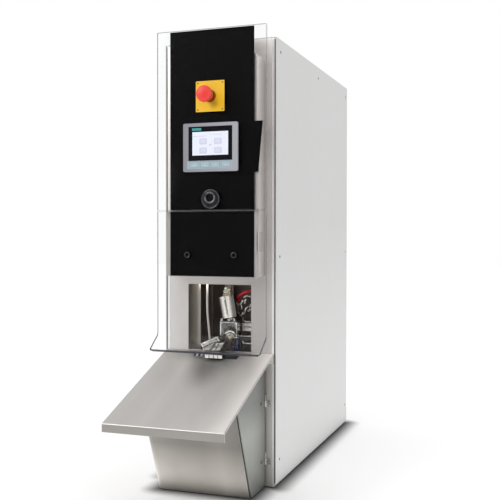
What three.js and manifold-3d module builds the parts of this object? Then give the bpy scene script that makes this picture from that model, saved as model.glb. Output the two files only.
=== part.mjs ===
// Compact filling and closing station: a narrow, deep cabinet with an operator column, a clear guard
// with a hinged lower door, a sloping work table and a tapered lower housing with a service door.
// Millimetres, +Z up, X to the operator's right, Y into the machine. The origin is on the floor, under
// the middle of the whole machine.

import * as THREE from 'three';
import { mergeVertices } from 'three/addons/utils/BufferGeometryUtils.js';
import Module from 'manifold-3d';

const wasm = await Module();
wasm.setup();

// ---------------------------------------------------------------- driving dimensions

const CABINET = { width: 291.4, depth: 751, height: 1077.4 };
const TABLE_REACH = 331;
const AIR_INLET_REACH = 24;
const FOOT_DROP = 8;
const SKIRT_DROP = 6;

const SHEET = 1.5;
const GAP = 0.3;
const TOTAL_DEPTH = TABLE_REACH + CABINET.depth + AIR_INLET_REACH;

// Cabinet shell: sheet walls with folded front and rear flanges, and painted side panels on bosses.
const WALL_X = 140.8;
const FLANGE_X = 134.6;
const PANEL_THICKNESS = 2;
const PANEL_X = CABINET.width / 2;
const TOP_Z = CABINET.height - PANEL_THICKNESS - GAP;
const PANEL_SCREWS = [
  [30, 55], [730, 55], [30, 550], [730, 550], [35, 1047], [390, 1047], [730, 1047],
];
const SCREW_RECESS = { radius: 3.8, depth: 1.3 };

// The connector plate low on the rear: its top edge, and where its fittings lie.
const CONNECTORS = { top: 170, z: 110, airX: -80, switchX: 65, inletX: 91.5 };

const WINDOW = { left: -84, right: 82, bottom: 318, top: 481 };

// Operator column and the guard plates in front of it.
const COLUMN = { halfWidth: 118, front: -47.5, bottom: 503.3, top: 1037, corner: 28 };
const GUARD = { front: -59.5, thickness: 5, halfWidth: 140.6, top: 1095.4, seam: 661 };
const SEAM_GAP = 1.4;
const FASCIA = { halfWidth: 108.2, thickness: 1.5, top: 1094.3, bottom: 503 };
const FASCIA_BACK = GUARD.front + GUARD.thickness + GAP + FASCIA.thickness;
const CURVE_STEPS = 28;

const HMI = { x: 1.2, z: 812, width: 140, height: 116, front: -65.5 };
const SCREEN = { width: 112, height: 81, z: 821.1 };
const KEY = { width: 22, height: 13, z: 770.5, pitch: 27 };
const STOP = { x: -0.9, z: 933.8, plate: 73.5, bore: 12, stem: 10.2, collarDepth: 8.4, capBack: -76 };
const PORT = { x: 0.8, z: 688.7, radius: 23.5, neck: 13.6, bore: 9.5 };

// Guard door, hung on a pin behind its right edge.
const LIP = { bendZ: 360, endY: -105, endZ: 327, cornerX: 14, cornerZ: 9 };
const DOOR_PIN = { x: 117.5, y: -51, radius: 1, bore: 1.35, knuckle: 2.5 };
const MIDDLE_KNUCKLE = { bottom: 563, top: 610 };
const KNOB = { x: 60, z: 554.8, radius: 7.5, shank: 3, hole: 3.4 };
const BACKING = { front: -52.4, back: -49.9 };

// Work table: the top face falls from the cabinet front to the front lip.
const TABLE = { halfWidth: 141.7, rearZ: 317.7, slope: 0.364, thickness: 2.5, lipBottom: 178.5 };

// Lower housing: its front leans forward as it rises, and its top follows the table.
const HOUSING = { halfWidth: 120, depth: 102, lean: 0.426, bottom: -6, corner: 15 };
const HOUSING_TOP = 320;
const SERVICE_DOOR = { inner: 117.3, bottom: -4, rear: -7 };
const SERVICE_PIN = { x: 120.2, y: -3.4, radius: 1.4, bore: 1.7, knuckle: 3 };
const SERVICE_HINGES = { lower: 48, upper: 188 };
const SERVICE_HINGE_HEIGHT = 30;

// Filling bay behind the window.
const BAY = { halfWidth: 130, back: 150, deckTop: 299 };
const VALVE = { left: 6.4, right: 50.9, front: -14, back: 14, bottom: 352, top: 392.3, rim: 3.5 };
const UNION = { place: [31, VALVE.front, 366], direction: [0.36, -0.76, -0.54] };
const ACTUATOR = { place: [27.9, 6, 395.4], tilt: -9.8 };
const CLAMP = { front: -48, back: -22, bottom: 322 };

// ---------------------------------------------------------------- materials

const paint = (color, roughness, metalness) =>
  new THREE.MeshStandardMaterial({ color, roughness, metalness });

const stainless = () => paint(0xb5aeaa, 0.35, 0.9);
const paintedWhite = () => paint(0xdcdcda, 0.5, 0.0);
const clearPlastic = () => paint(0xf2f4f4, 0.05, 0.0);
const blackPlastic = () => paint(0x141417, 0.3, 0.0);
const darkSteel = () => paint(0x55524e, 0.45, 0.8);
const polished = () => paint(0xd4d2cf, 0.15, 1.0);
const brass = () => paint(0xb89a5a, 0.3, 1.0);
const greyPlastic = () => paint(0x8f9498, 0.5, 0.0);
const silverPlastic = () => paint(0xbcbcc2, 0.35, 0.2);
const rubber = () => paint(0x1c1c1c, 0.9, 0.0);

// ---------------------------------------------------------------- solids

function solid(geometry) {
  const bare = geometry.clone();
  bare.deleteAttribute('normal');
  bare.deleteAttribute('uv');
  const merged = mergeVertices(bare, 1e-4);
  const corners = merged.index.array;
  const kept = [];
  for (let i = 0; i < corners.length; i += 3) {
    const [a, b, c] = [corners[i], corners[i + 1], corners[i + 2]];
    if (a !== b && b !== c && c !== a) {
      kept.push(a, b, c);
    }
  }
  return new wasm.Manifold(new wasm.Mesh({
    numProp: 3,
    vertProperties: Float32Array.from(merged.getAttribute('position').array),
    triVerts: Uint32Array.from(kept),
  }));
}

function geometryOf(manifold) {
  const mesh = manifold.getMesh();
  const geometry = new THREE.BufferGeometry();
  geometry.setAttribute('position', new THREE.BufferAttribute(mesh.vertProperties, 3));
  geometry.setIndex(new THREE.BufferAttribute(mesh.triVerts, 1));
  geometry.computeVertexNormals();
  return geometry;
}

const join = (first, ...rest) => geometryOf(rest.reduce((sum, g) => sum.add(solid(g)), solid(first)));

const cut = (first, ...tools) => geometryOf(tools.reduce((sum, g) => sum.subtract(solid(g)), solid(first)));

const common = (first, second) => geometryOf(solid(first).intersect(solid(second)));

function block(x0, x1, y0, y1, z0, z1) {
  const geometry = new THREE.BoxGeometry(x1 - x0, y1 - y0, z1 - z0);
  geometry.translate((x0 + x1) / 2, (y0 + y1) / 2, (z0 + z1) / 2);
  return geometry;
}

function outline(points) {
  return new THREE.Shape(points.map(([a, b]) => new THREE.Vector2(a, b)));
}

function roundedOutline(x0, x1, z0, z1, radius) {
  const shape = new THREE.Shape();
  shape.moveTo(x0 + radius, z0);
  shape.lineTo(x1 - radius, z0);
  shape.absarc(x1 - radius, z0 + radius, radius, -Math.PI / 2, 0, false);
  shape.lineTo(x1, z1 - radius);
  shape.absarc(x1 - radius, z1 - radius, radius, 0, Math.PI / 2, false);
  shape.lineTo(x0 + radius, z1);
  shape.absarc(x0 + radius, z1 - radius, radius, Math.PI / 2, Math.PI, false);
  shape.lineTo(x0, z0 + radius);
  shape.absarc(x0 + radius, z0 + radius, radius, Math.PI, Math.PI * 1.5, false);
  return shape;
}

// A plate whose outline is drawn in X and Z, from y0 back to y1.
function frontPlate(shape, y0, y1, curveSegments = 6) {
  const geometry = new THREE.ExtrudeGeometry(shape, { depth: y1 - y0, bevelEnabled: false, curveSegments });
  geometry.rotateX(Math.PI / 2);
  geometry.translate(0, y1, 0);
  return geometry;
}

// A plate whose outline is drawn in Y and Z, from x0 to x1.
function sidePlate(shape, x0, x1) {
  const geometry = new THREE.ExtrudeGeometry(shape, { depth: x1 - x0, bevelEnabled: false });
  const toSide = new THREE.Matrix4().makeBasis(
    new THREE.Vector3(0, 1, 0), new THREE.Vector3(0, 0, 1), new THREE.Vector3(1, 0, 0));
  geometry.applyMatrix4(toSide);
  geometry.translate(x0, 0, 0);
  return geometry;
}

// A plate whose outline is drawn in X and Y, from z0 up to z1.
function floorPlate(shape, z0, z1) {
  const geometry = new THREE.ExtrudeGeometry(shape, { depth: z1 - z0, bevelEnabled: false });
  geometry.translate(0, 0, z0);
  return geometry;
}

// Round bars along each axis.
function barZ(x, y, radius, z0, z1, segments = CURVE_STEPS) {
  const geometry = new THREE.CylinderGeometry(radius, radius, z1 - z0, segments);
  geometry.rotateX(Math.PI / 2);
  geometry.translate(x, y, (z0 + z1) / 2);
  return geometry;
}

function barY(x, z, radius, y0, y1, segments = CURVE_STEPS) {
  const geometry = new THREE.CylinderGeometry(radius, radius, y1 - y0, segments);
  geometry.translate(x, (y0 + y1) / 2, z);
  return geometry;
}

function barX(y, z, radius, x0, x1, segments = CURVE_STEPS) {
  const geometry = new THREE.CylinderGeometry(radius, radius, x1 - x0, segments);
  geometry.rotateZ(Math.PI / 2);
  geometry.translate((x0 + x1) / 2, y, z);
  return geometry;
}

// A turned solid: pairs of radius and height, from the axis at the bottom to the axis at the top.
function turned(pairs, segments = CURVE_STEPS) {
  return geometryOf(solid(new THREE.LatheGeometry(pairs.map(([r, h]) => new THREE.Vector2(r, h)), segments)));
}

// The same, lying along Y: heights become Y places.
const turnedY = (pairs, x, z, segments) => turned(pairs, segments).translate(x, 0, z);

// The closed outline of a strip of sheet that follows a path, its thickness to the path's right side.
function stripOutline(path, thickness) {
  const offset = path.map(([a, b], i) => {
    const before = path[Math.max(i - 1, 0)];
    const after = path[Math.min(i + 1, path.length - 1)];
    const into = new THREE.Vector2(a - before[0], b - before[1]);
    const out = new THREE.Vector2(after[0] - a, after[1] - b);
    const first = (into.length() > 0 ? into : out).clone().normalize();
    const second = (out.length() > 0 ? out : into).clone().normalize();
    const mitre = new THREE.Vector2(first.y + second.y, -first.x - second.x).normalize();
    const reach = thickness / mitre.dot(new THREE.Vector2(first.y, -first.x));
    return [a + mitre.x * reach, b + mitre.y * reach];
  });
  return outline([...path, ...offset.reverse()]);
}

// A path with its corner at b rounded between a and c.
function filleted(a, b, c, radius, steps = 4) {
  const toA = new THREE.Vector2(a[0] - b[0], a[1] - b[1]).normalize();
  const toC = new THREE.Vector2(c[0] - b[0], c[1] - b[1]).normalize();
  const half = toA.angleTo(toC) / 2;
  const setback = radius / Math.tan(half);
  const middle = toA.clone().add(toC).normalize().multiplyScalar(radius / Math.sin(half));
  const centre = [b[0] + middle.x, b[1] + middle.y];
  const from = Math.atan2(b[1] + toA.y * setback - centre[1], b[0] + toA.x * setback - centre[0]);
  const to = Math.atan2(b[1] + toC.y * setback - centre[1], b[0] + toC.x * setback - centre[0]);
  const turn = Math.atan2(Math.sin(to - from), Math.cos(to - from));
  const points = [];
  for (let i = 0; i <= steps; i += 1) {
    const angle = from + (turn * i) / steps;
    points.push([centre[0] + radius * Math.cos(angle), centre[1] + radius * Math.sin(angle)]);
  }
  return points;
}

// A solid between two closed outlines of equally many points, at heights z0 and z1.
function loft(lower, upper, z0, z1) {
  const count = lower.length;
  const positions = [...lower.map(([x, y]) => [x, y, z0]), ...upper.map(([x, y]) => [x, y, z1])].flat();
  const cap = THREE.ShapeUtils.triangulateShape(lower.map(([x, y]) => new THREE.Vector2(x, y)), []);
  const index = [];
  for (const [a, b, c] of cap) {
    index.push(c, b, a, a + count, b + count, c + count);
  }
  for (let i = 0; i < count; i += 1) {
    const next = (i + 1) % count;
    index.push(i, next, next + count, i, next + count, i + count);
  }
  const geometry = new THREE.BufferGeometry();
  geometry.setAttribute('position', new THREE.Float32BufferAttribute(positions, 3));
  geometry.setAttribute('normal', new THREE.Float32BufferAttribute(positions, 3));
  geometry.setAttribute('uv', new THREE.Float32BufferAttribute(new Array(count * 4).fill(0), 2));
  geometry.setIndex(index);
  return geometry;
}

// Everything is drawn from the cabinet's front face and the bottom edge of its side panels.
const machine = new THREE.Group();

function add(name, geometry, material, group = machine) {
  const mesh = new THREE.Mesh(geometry, material);
  mesh.name = name;
  group.add(mesh);
  return mesh;
}

// The same solid on the other side of the middle plane, its faces turned to point out again.
function mirrored(geometry) {
  const flipped = geometryOf(solid(geometry)).applyMatrix4(new THREE.Matrix4().makeScale(-1, 1, 1));
  const corners = flipped.index.array;
  for (let i = 0; i < corners.length; i += 3) {
    [corners[i], corners[i + 2]] = [corners[i + 2], corners[i]];
  }
  return flipped;
}

// ---------------------------------------------------------------- cabinet

function cabinetShell() {
  const { depth } = CABINET;
  add('base_plate', block(-139, 139, 2, depth - 2, 6, 8), stainless());
  for (const [side, x] of [['left', -105], ['right', 105]]) {
    for (const [end, y] of [['front', 60], ['rear', 690]]) {
      const foot = turned([
        [0, -FOOT_DROP], [20, -FOOT_DROP], [22, -FOOT_DROP + 2], [22, 2], [14, 5.7], [0, 5.7]]);
      add(`foot_${end}_${side}`, foot.rotateX(Math.PI / 2).translate(x, y, 0), rubber());
    }
  }
  const plan = outline([
    [WALL_X, 0], [WALL_X, depth], [FLANGE_X, depth], [FLANGE_X, depth - SHEET],
    [WALL_X - SHEET, depth - SHEET], [WALL_X - SHEET, SHEET], [FLANGE_X, SHEET], [FLANGE_X, 0],
  ]);
  const wall = floorPlate(plan, -SKIRT_DROP, TOP_Z);
  add('wall_right', wall, stainless());
  add('wall_left', mirrored(wall), stainless());

  const skin = block(PANEL_X - PANEL_THICKNESS, PANEL_X, 0, depth, 0, CABINET.height);
  const bossEnd = PANEL_X - PANEL_THICKNESS + 0.5;
  const bosses = PANEL_SCREWS.map(([y, z]) => barX(y, z, 7, WALL_X + GAP, bossEnd, 12));
  const recesses = PANEL_SCREWS.map(([y, z]) => barX(
    y, z, SCREW_RECESS.radius, PANEL_X - SCREW_RECESS.depth, PANEL_X + 1));
  const panel = cut(join(skin, ...bosses), ...recesses);
  add('side_panel_right', panel, paintedWhite());
  add('side_panel_left', mirrored(panel), paintedWhite());
  add('top_panel', block(-WALL_X, WALL_X, 0, depth, TOP_Z + GAP, CABINET.height), paintedWhite());
}

function rearPanel() {
  const { depth } = CABINET;
  const inner = FLANGE_X - GAP;
  const slots = [];
  for (let row = 0; row < 8; row += 1) {
    for (const x of [-55, 55]) {
      slots.push(block(x - 40, x + 40, depth - 3, depth + 1, 900 + row * 14, 905 + row * 14));
    }
  }
  const plate = block(-inner, inner, depth - SHEET, depth, CONNECTORS.top + GAP, TOP_Z - GAP);
  add('rear_panel', cut(plate, ...slots), paintedWhite());
}

// The plate low on the rear with the mains switch, the mains inlet and the compressed-air inlet.
function connectorPlate() {
  const { depth } = CABINET;
  const inner = FLANGE_X - GAP;
  const { z, airX, switchX, inletX, top } = CONNECTORS;
  const face = depth + GAP;
  const plate = block(-inner, inner, depth - SHEET, depth, 8 + GAP, top);
  const mainsHole = block(switchX - 11.5, inletX + 11, depth - 3, depth + 1, z - 16.5, z + 16.5);
  add('connector_plate', cut(plate, mainsHole, barY(airX, z, 10, depth - 3, depth + 1)), stainless());

  const housing = (x0, x1, deep) => join(
    block(x0, x1, face, face + 4, z - 18, z + 18),
    block(x0 + 2, x1 - 2, face - deep, face + 1, z - 16, z + 16));
  const socket = block(inletX - 7.5, inletX + 7.5, face - 10, face + 5, z - 11, z + 11);
  add('power_inlet', cut(housing(inletX - 12.5, inletX + 12.5, 24), socket), blackPlastic());
  const rockerWell = block(switchX - 8.5, switchX + 8.5, face - 12, face + 5, z - 7.2, z + 7.2);
  add('power_switch', cut(housing(switchX - 13, switchX + 13, 20), rockerWell), blackPlastic());
  const rocker = block(-8, 8, -3, 3, -6, 6);
  rocker.rotateX(THREE.MathUtils.degToRad(-8));
  add('power_rocker', rocker, rubber()).position.set(switchX, face + 1, z);

  const fitting = turnedY([
    [0, depth - 14], [8, depth - 14], [8, face], [13, face], [13, face + 9], [7, face + 10], [7, face + 13],
    [8.5, face + 15], [6.5, depth + AIR_INLET_REACH], [0, depth + AIR_INLET_REACH],
  ], airX, z, 24);
  add('air_inlet_fitting', fitting, brass());
}

function frontSheet() {
  const inner = FLANGE_X - GAP;
  const plate = block(-inner, inner, 0, SHEET, -SKIRT_DROP, TOP_Z);
  const hole = block(WINDOW.left, WINDOW.right, -1, SHEET + 1, WINDOW.bottom, WINDOW.top);
  const wiring = barY(0, 880, 30, -1, SHEET + 1);
  add('front_sheet', cut(plate, hole, wiring), stainless());
}

// ---------------------------------------------------------------- operator column

// The openings that the touch panel, the stop button and the port share through all the layers.
function frontCutters(y0, y1) {
  return [
    block(HMI.x - 61.8, HMI.x + 61.8, y0, y1, HMI.z - 49.8, HMI.z + 49.8),
    barY(STOP.x, STOP.z, STOP.bore, y0, y1),
    barY(PORT.x, PORT.z, PORT.neck + 0.4, y0, y1),
  ];
}

function columnOutline(inset) {
  const side = COLUMN.halfWidth - inset;
  const radius = COLUMN.corner - inset;
  const shape = new THREE.Shape();
  shape.moveTo(-side, COLUMN.bottom + inset);
  shape.lineTo(side, COLUMN.bottom + inset);
  shape.lineTo(side, COLUMN.top - COLUMN.corner);
  shape.absarc(side - radius, COLUMN.top - COLUMN.corner, radius, 0, Math.PI / 2, false);
  shape.lineTo(-side + radius, COLUMN.top - inset);
  shape.absarc(-side + radius, COLUMN.top - COLUMN.corner, radius, Math.PI / 2, Math.PI, false);
  return shape;
}

function operatorColumn() {
  const outer = frontPlate(columnOutline(0), COLUMN.front, -GAP, 8);
  const inner = frontPlate(columnOutline(SHEET), COLUMN.front + SHEET, 1, 8);
  const spacers = [715, 985].map((z) => block(-100, 100, FASCIA_BACK + GAP, COLUMN.front + 0.5, z, z + 20));
  const shell = cut(outer, inner, ...frontCutters(COLUMN.front - 1, COLUMN.front + 3));
  add('column_cover', join(shell, ...spacers), stainless());

  const guardBack = GUARD.front + GUARD.thickness;
  const bottom = GUARD.seam + SEAM_GAP / 2;
  const guard = roundedOutline(-GUARD.halfWidth, GUARD.halfWidth, bottom, GUARD.top, 2);
  const guardHoles = frontCutters(GUARD.front - 1, guardBack + 1);
  add('upper_guard_plate', cut(frontPlate(guard, GUARD.front, guardBack, 2), ...guardHoles), clearPlastic());

  const side = FASCIA.halfWidth;
  const black = outline([
    [-side, bottom], [side, bottom], [side, 750.4], [118.6, 752.5], [129.6, 871], [side, 871],
    [side, FASCIA.top], [-side, FASCIA.top],
  ]);
  const fasciaFront = guardBack + GAP;
  const fasciaHoles = frontCutters(fasciaFront - 1, FASCIA_BACK + 1);
  add('upper_fascia', cut(frontPlate(black, fasciaFront, FASCIA_BACK), ...fasciaHoles), blackPlastic());
}

function touchPanel() {
  const back = GUARD.front - GAP;
  const rim = roundedOutline(
    HMI.x - HMI.width / 2, HMI.x + HMI.width / 2, HMI.z - HMI.height / 2, HMI.z + HMI.height / 2, 4);
  const screenPocket = block(
    HMI.x - SCREEN.width / 2 - GAP, HMI.x + SCREEN.width / 2 + GAP, HMI.front - 1, HMI.front + 1.4,
    SCREEN.z - SCREEN.height / 2 - GAP, SCREEN.z + SCREEN.height / 2 + GAP);
  const keyPlaces = [0, 1, 2, 3].map((i) => HMI.x + (i - 1.5) * KEY.pitch);
  const keyPockets = keyPlaces.map((x) => block(
    x - KEY.width / 2 - GAP, x + KEY.width / 2 + GAP, HMI.front - 1, HMI.front + 4.2,
    KEY.z - KEY.height / 2 - GAP, KEY.z + KEY.height / 2 + GAP));
  add('hmi_bezel', cut(frontPlate(rim, HMI.front, back, 4), screenPocket, ...keyPockets), silverPlastic());
  add('hmi_screen', block(
    HMI.x - SCREEN.width / 2, HMI.x + SCREEN.width / 2, HMI.front + 0.3, HMI.front + 1.1,
    SCREEN.z - SCREEN.height / 2, SCREEN.z + SCREEN.height / 2), paint(0xe8ecf6, 0.1, 0.0));
  add('hmi_housing', block(
    HMI.x - 61.2, HMI.x + 61.2, GUARD.front, -25, HMI.z - 49.2, HMI.z + 49.2), greyPlastic());
  keyPlaces.forEach((x, i) => add(`function_key_${i + 1}`, block(
    x - KEY.width / 2, x + KEY.width / 2, HMI.front - 0.4, HMI.front + 3.2,
    KEY.z - KEY.height / 2, KEY.z + KEY.height / 2), paint(0xa5b9c3, 0.5, 0.0)));
}

function emergencyStop() {
  const face = GUARD.front - GAP;
  const square = roundedOutline(
    STOP.x - STOP.plate / 2, STOP.x + STOP.plate / 2, STOP.z - STOP.plate / 2, STOP.z + STOP.plate / 2, 2);
  const hole = barY(STOP.x, STOP.z, STOP.bore, face - 3, face + 1);
  add('estop_plate', cut(frontPlate(square, face - 1, face, 3), hole), paint(0xf0be1e, 0.4, 0.0));

  const seat = face - 1 - GAP;
  const ring = barY(STOP.x, STOP.z, 15, seat - STOP.collarDepth, seat, 48);
  const bore = barY(STOP.x, STOP.z, STOP.stem + 0.4, seat - 13, seat + 1);
  add('estop_collar', cut(ring, bore), blackPlastic());

  add('estop_plunger', barY(STOP.x, STOP.z, STOP.stem, STOP.capBack + GAP, -44), blackPlastic());
  const cap = turnedY([
    [0, -106], [10, -105.7], [15, -104.8], [17.8, -103], [19.3, -100], [19.4, -96], [18.4, -92], [16.4, -88],
    [15.2, -84], [14.8, STOP.capBack], [0, STOP.capBack],
  ], STOP.x, STOP.z, 48);
  add('estop_cap', cap, paint(0xe0382c, 0.35, 0.0));
  const contacts = block(STOP.x - 15, STOP.x + 15, -38.4, -6, STOP.z - 22, STOP.z + 22);
  add('estop_contact_block', contacts, greyPlastic());
}

function roundPort() {
  const face = GUARD.front - GAP;
  const flange = barY(PORT.x, PORT.z, PORT.radius, face - 3.5, face, 56);
  const neck = barY(PORT.x, PORT.z, PORT.neck, face - 1, -44);
  const collar = barY(PORT.x, PORT.z + 3, 14.5, face - 8, face - 1, 48);
  const bore = barY(PORT.x, PORT.z + 3, PORT.bore, face - 9, -52, 36);
  const slot = block(-6, 6, -2, 3, -1.5, 1.5);
  slot.rotateY(THREE.MathUtils.degToRad(35));
  slot.translate(PORT.x - 4, face - 3.5, PORT.z - 14.5);
  add('port_flange', cut(join(flange, neck, collar), bore, slot), blackPlastic());
}

// ---------------------------------------------------------------- guard door

function guardDoor() {
  const top = GUARD.seam - SEAM_GAP / 2;
  const bend = filleted([GUARD.front, top], [GUARD.front, LIP.bendZ], [LIP.endY, LIP.endZ], 9);
  const side = stripOutline([[GUARD.front, top], ...bend, [LIP.endY, LIP.endZ]].reverse(), GUARD.thickness);
  const face = new THREE.Shape();
  face.moveTo(-GUARD.halfWidth, top + 1);
  face.lineTo(-GUARD.halfWidth, LIP.endZ - 5 + LIP.cornerZ);
  face.absellipse(-GUARD.halfWidth + LIP.cornerX, LIP.endZ - 5 + LIP.cornerZ, LIP.cornerX, LIP.cornerZ,
    Math.PI, Math.PI * 1.5, false);
  face.lineTo(GUARD.halfWidth - LIP.cornerX, LIP.endZ - 5);
  face.absellipse(GUARD.halfWidth - LIP.cornerX, LIP.endZ - 5 + LIP.cornerZ, LIP.cornerX, LIP.cornerZ,
    Math.PI * 1.5, Math.PI * 2, false);
  face.lineTo(GUARD.halfWidth, top + 1);
  const sheet = common(
    sidePlate(side, -GUARD.halfWidth - 1, GUARD.halfWidth + 1), frontPlate(face, LIP.endY - 20, -40, 6));
  const screwHoles = (y0, y1) => [-KNOB.x, KNOB.x].map((x) => barY(x, KNOB.z, KNOB.hole, y0, y1, 16));
  add('lower_guard_plate', cut(sheet, ...screwHoles(GUARD.front - 1, -50)), clearPlastic());

  const black = block(
    -FASCIA.halfWidth, FASCIA.halfWidth, FASCIA_BACK - FASCIA.thickness, FASCIA_BACK, FASCIA.bottom, top);
  add('lower_fascia', cut(black, ...screwHoles(-56, -50)), blackPlastic());

  const { x, y, radius, bore, knuckle } = DOOR_PIN;
  const stops = [[FASCIA.bottom, MIDDLE_KNUCKLE.bottom - GAP], [MIDDLE_KNUCKLE.top + GAP, top]];
  const plate = block(-COLUMN.halfWidth, x - knuckle - 0.5, BACKING.front, BACKING.back, FASCIA.bottom, top);
  const arms = stops.map(([z0, z1]) => block(x - knuckle - 1, x, BACKING.front, BACKING.back, z0, z1));
  const knuckles = stops.map(([z0, z1]) => barZ(x, y, knuckle, z0, z1, 16));
  add('door_backing', cut(
    join(plate, ...arms, ...knuckles), barZ(x, y, bore, FASCIA.bottom - 1, top + 1, 16),
    ...screwHoles(-54, -48)), silverPlastic());

  const leafX = COLUMN.halfWidth + GAP;
  const leaf = block(leafX, leafX + SHEET, y, -22, MIDDLE_KNUCKLE.bottom, MIDDLE_KNUCKLE.top);
  add('door_hinge', join(
    leaf, barZ(x, y, knuckle, MIDDLE_KNUCKLE.bottom, MIDDLE_KNUCKLE.top, 16),
    barZ(x, y, radius, FASCIA.bottom + 1, top - 1, 16)), darkSteel());

  for (const [name, knobX] of [['left', -KNOB.x], ['right', KNOB.x]]) {
    const head = turnedY([
      [0, GUARD.front - 4], [5, GUARD.front - 4], [KNOB.radius, GUARD.front - 2.8],
      [KNOB.radius, GUARD.front - GAP], [KNOB.shank, GUARD.front - GAP], [KNOB.shank, -49.6], [0, -49.6],
    ], knobX, KNOB.z, 36);
    const socket = barY(knobX, KNOB.z, 2.6, GUARD.front - 5, GUARD.front - 1.5, 6);
    add(`door_screw_${name}`, cut(head, socket), blackPlastic());
  }
}

// ---------------------------------------------------------------- table and lower housing

const tableTop = (y) => TABLE.rearZ + TABLE.slope * y;

function workTable() {
  const front = -TABLE_REACH;
  const rear = -GAP;
  const edge = [rear, tableTop(rear)];
  const nose = [front, tableTop(front)];
  const path = [
    [rear, TABLE.rearZ - 26], ...filleted([rear, TABLE.rearZ - 26], edge, nose, 3.2),
    ...filleted(edge, nose, [front, TABLE.lipBottom], 4.5, 5), [front, TABLE.lipBottom],
  ];
  add('work_table', sidePlate(
    stripOutline(path.reverse(), TABLE.thickness), -TABLE.halfWidth, TABLE.halfWidth), stainless());
}

const housingDepth = (z) => HOUSING.depth + HOUSING.lean * (z - HOUSING.bottom);

// The band of sheet that makes the housing's left wall, front and right return flange at one height.
function housingPlan(z) {
  const depth = housingDepth(z);
  const left = -HOUSING.halfWidth;
  const right = 115;
  const rear = -3.2;
  const corner = (inset) => {
    const points = [];
    for (let i = 0; i <= 5; i += 1) {
      const angle = Math.PI + (Math.PI / 2) * (i / 5);
      const radius = HOUSING.corner - inset;
      points.push([
        left + HOUSING.corner + radius * Math.cos(angle),
        -depth + HOUSING.corner + radius * Math.sin(angle),
      ]);
    }
    return points;
  };
  const flange = right - SHEET;
  return [
    [left, rear], ...corner(0), [right, -depth], [right, -depth + 20], [flange, -depth + 20],
    [flange, -depth + SHEET], ...corner(SHEET).reverse(), [left + SHEET, rear],
  ];
}

// Everything above a plane that runs parallel to the table, dropped below its top face.
function aboveTable(drop) {
  const front = -TABLE_REACH - 60;
  const rear = 60;
  return sidePlate(outline([
    [front, tableTop(front) - drop], [rear, tableTop(rear) - drop], [rear, 600], [front, 600]]), -200, 200);
}

function lowerHousing() {
  const underside = TABLE.thickness * Math.hypot(1, TABLE.slope);
  const band = loft(housingPlan(HOUSING.bottom), housingPlan(HOUSING_TOP), HOUSING.bottom, HOUSING_TOP);
  add('housing_shell', cut(band, aboveTable(underside + 0.6)), stainless());

  const inside = HOUSING.halfWidth - SHEET - 0.5;
  const frontInside = -HOUSING.depth + SHEET + 0.6;
  const floor = outline([
    [-inside, -3.2], [-inside, frontInside + 15], [-inside + 15, frontInside], [113, frontInside],
    [113, -3.2]]);
  add('housing_floor', floorPlate(floor, HOUSING.bottom, HOUSING.bottom + SHEET), stainless());

  const { x, y, radius, bore, knuckle } = SERVICE_PIN;
  const panel = sidePlate(outline([
    [SERVICE_DOOR.rear, SERVICE_DOOR.bottom], [SERVICE_DOOR.rear, HOUSING_TOP],
    [-housingDepth(HOUSING_TOP), HOUSING_TOP], [-housingDepth(SERVICE_DOOR.bottom), SERVICE_DOOR.bottom],
  ].reverse()), SERVICE_DOOR.inner, HOUSING.halfWidth);
  const trimmed = cut(panel, aboveTable(underside + 3));
  const half = SERVICE_HINGE_HEIGHT / 2;
  const bottoms = Object.values(SERVICE_HINGES);
  const arms = bottoms.map((z) => block(
    SERVICE_DOOR.inner, HOUSING.halfWidth, SERVICE_DOOR.rear - 1, y, z + half + GAP, z + 2 * half));
  const knuckles = bottoms.map((z) => barZ(x, y, knuckle, z + half + GAP, z + 2 * half, 16));
  const bores = bottoms.map((z) => barZ(x, y, bore, z + half - 1, z + 2 * half + 1, 16));
  add('service_door', cut(join(trimmed, ...arms, ...knuckles), ...bores), stainless());

  for (const [name, z] of Object.entries(SERVICE_HINGES)) {
    const leaf = block(x, 133, -1.9, -GAP, z, z + half);
    const pin = barZ(x, y, radius, z + 1, z + 2 * half - 0.5, 16);
    add(`service_hinge_${name}`, join(leaf, barZ(x, y, knuckle, z, z + half, 16), pin), polished());
  }
}

// ---------------------------------------------------------------- filling bay

// Lays a solid that was turned about Y along a direction, from a place.
function laid(geometry, [x, y, z], direction) {
  const turn = new THREE.Quaternion().setFromUnitVectors(
    new THREE.Vector3(0, 1, 0), new THREE.Vector3(...direction).normalize());
  return geometry.applyQuaternion(turn).translate(x, y, z);
}

// A round hose along a smooth route.
function hose(name, route, radius, color, steps) {
  const curve = new THREE.CatmullRomCurve3(route.map((p) => new THREE.Vector3(...p)));
  const section = new THREE.Shape().absarc(0, 0, radius, 0, Math.PI * 2, false);
  const geometry = new THREE.ExtrudeGeometry(
    section, { steps, curveSegments: 5, bevelEnabled: false, extrudePath: curve });
  add(name, geometry, paint(color, 0.5, 0.0));
}

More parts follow.
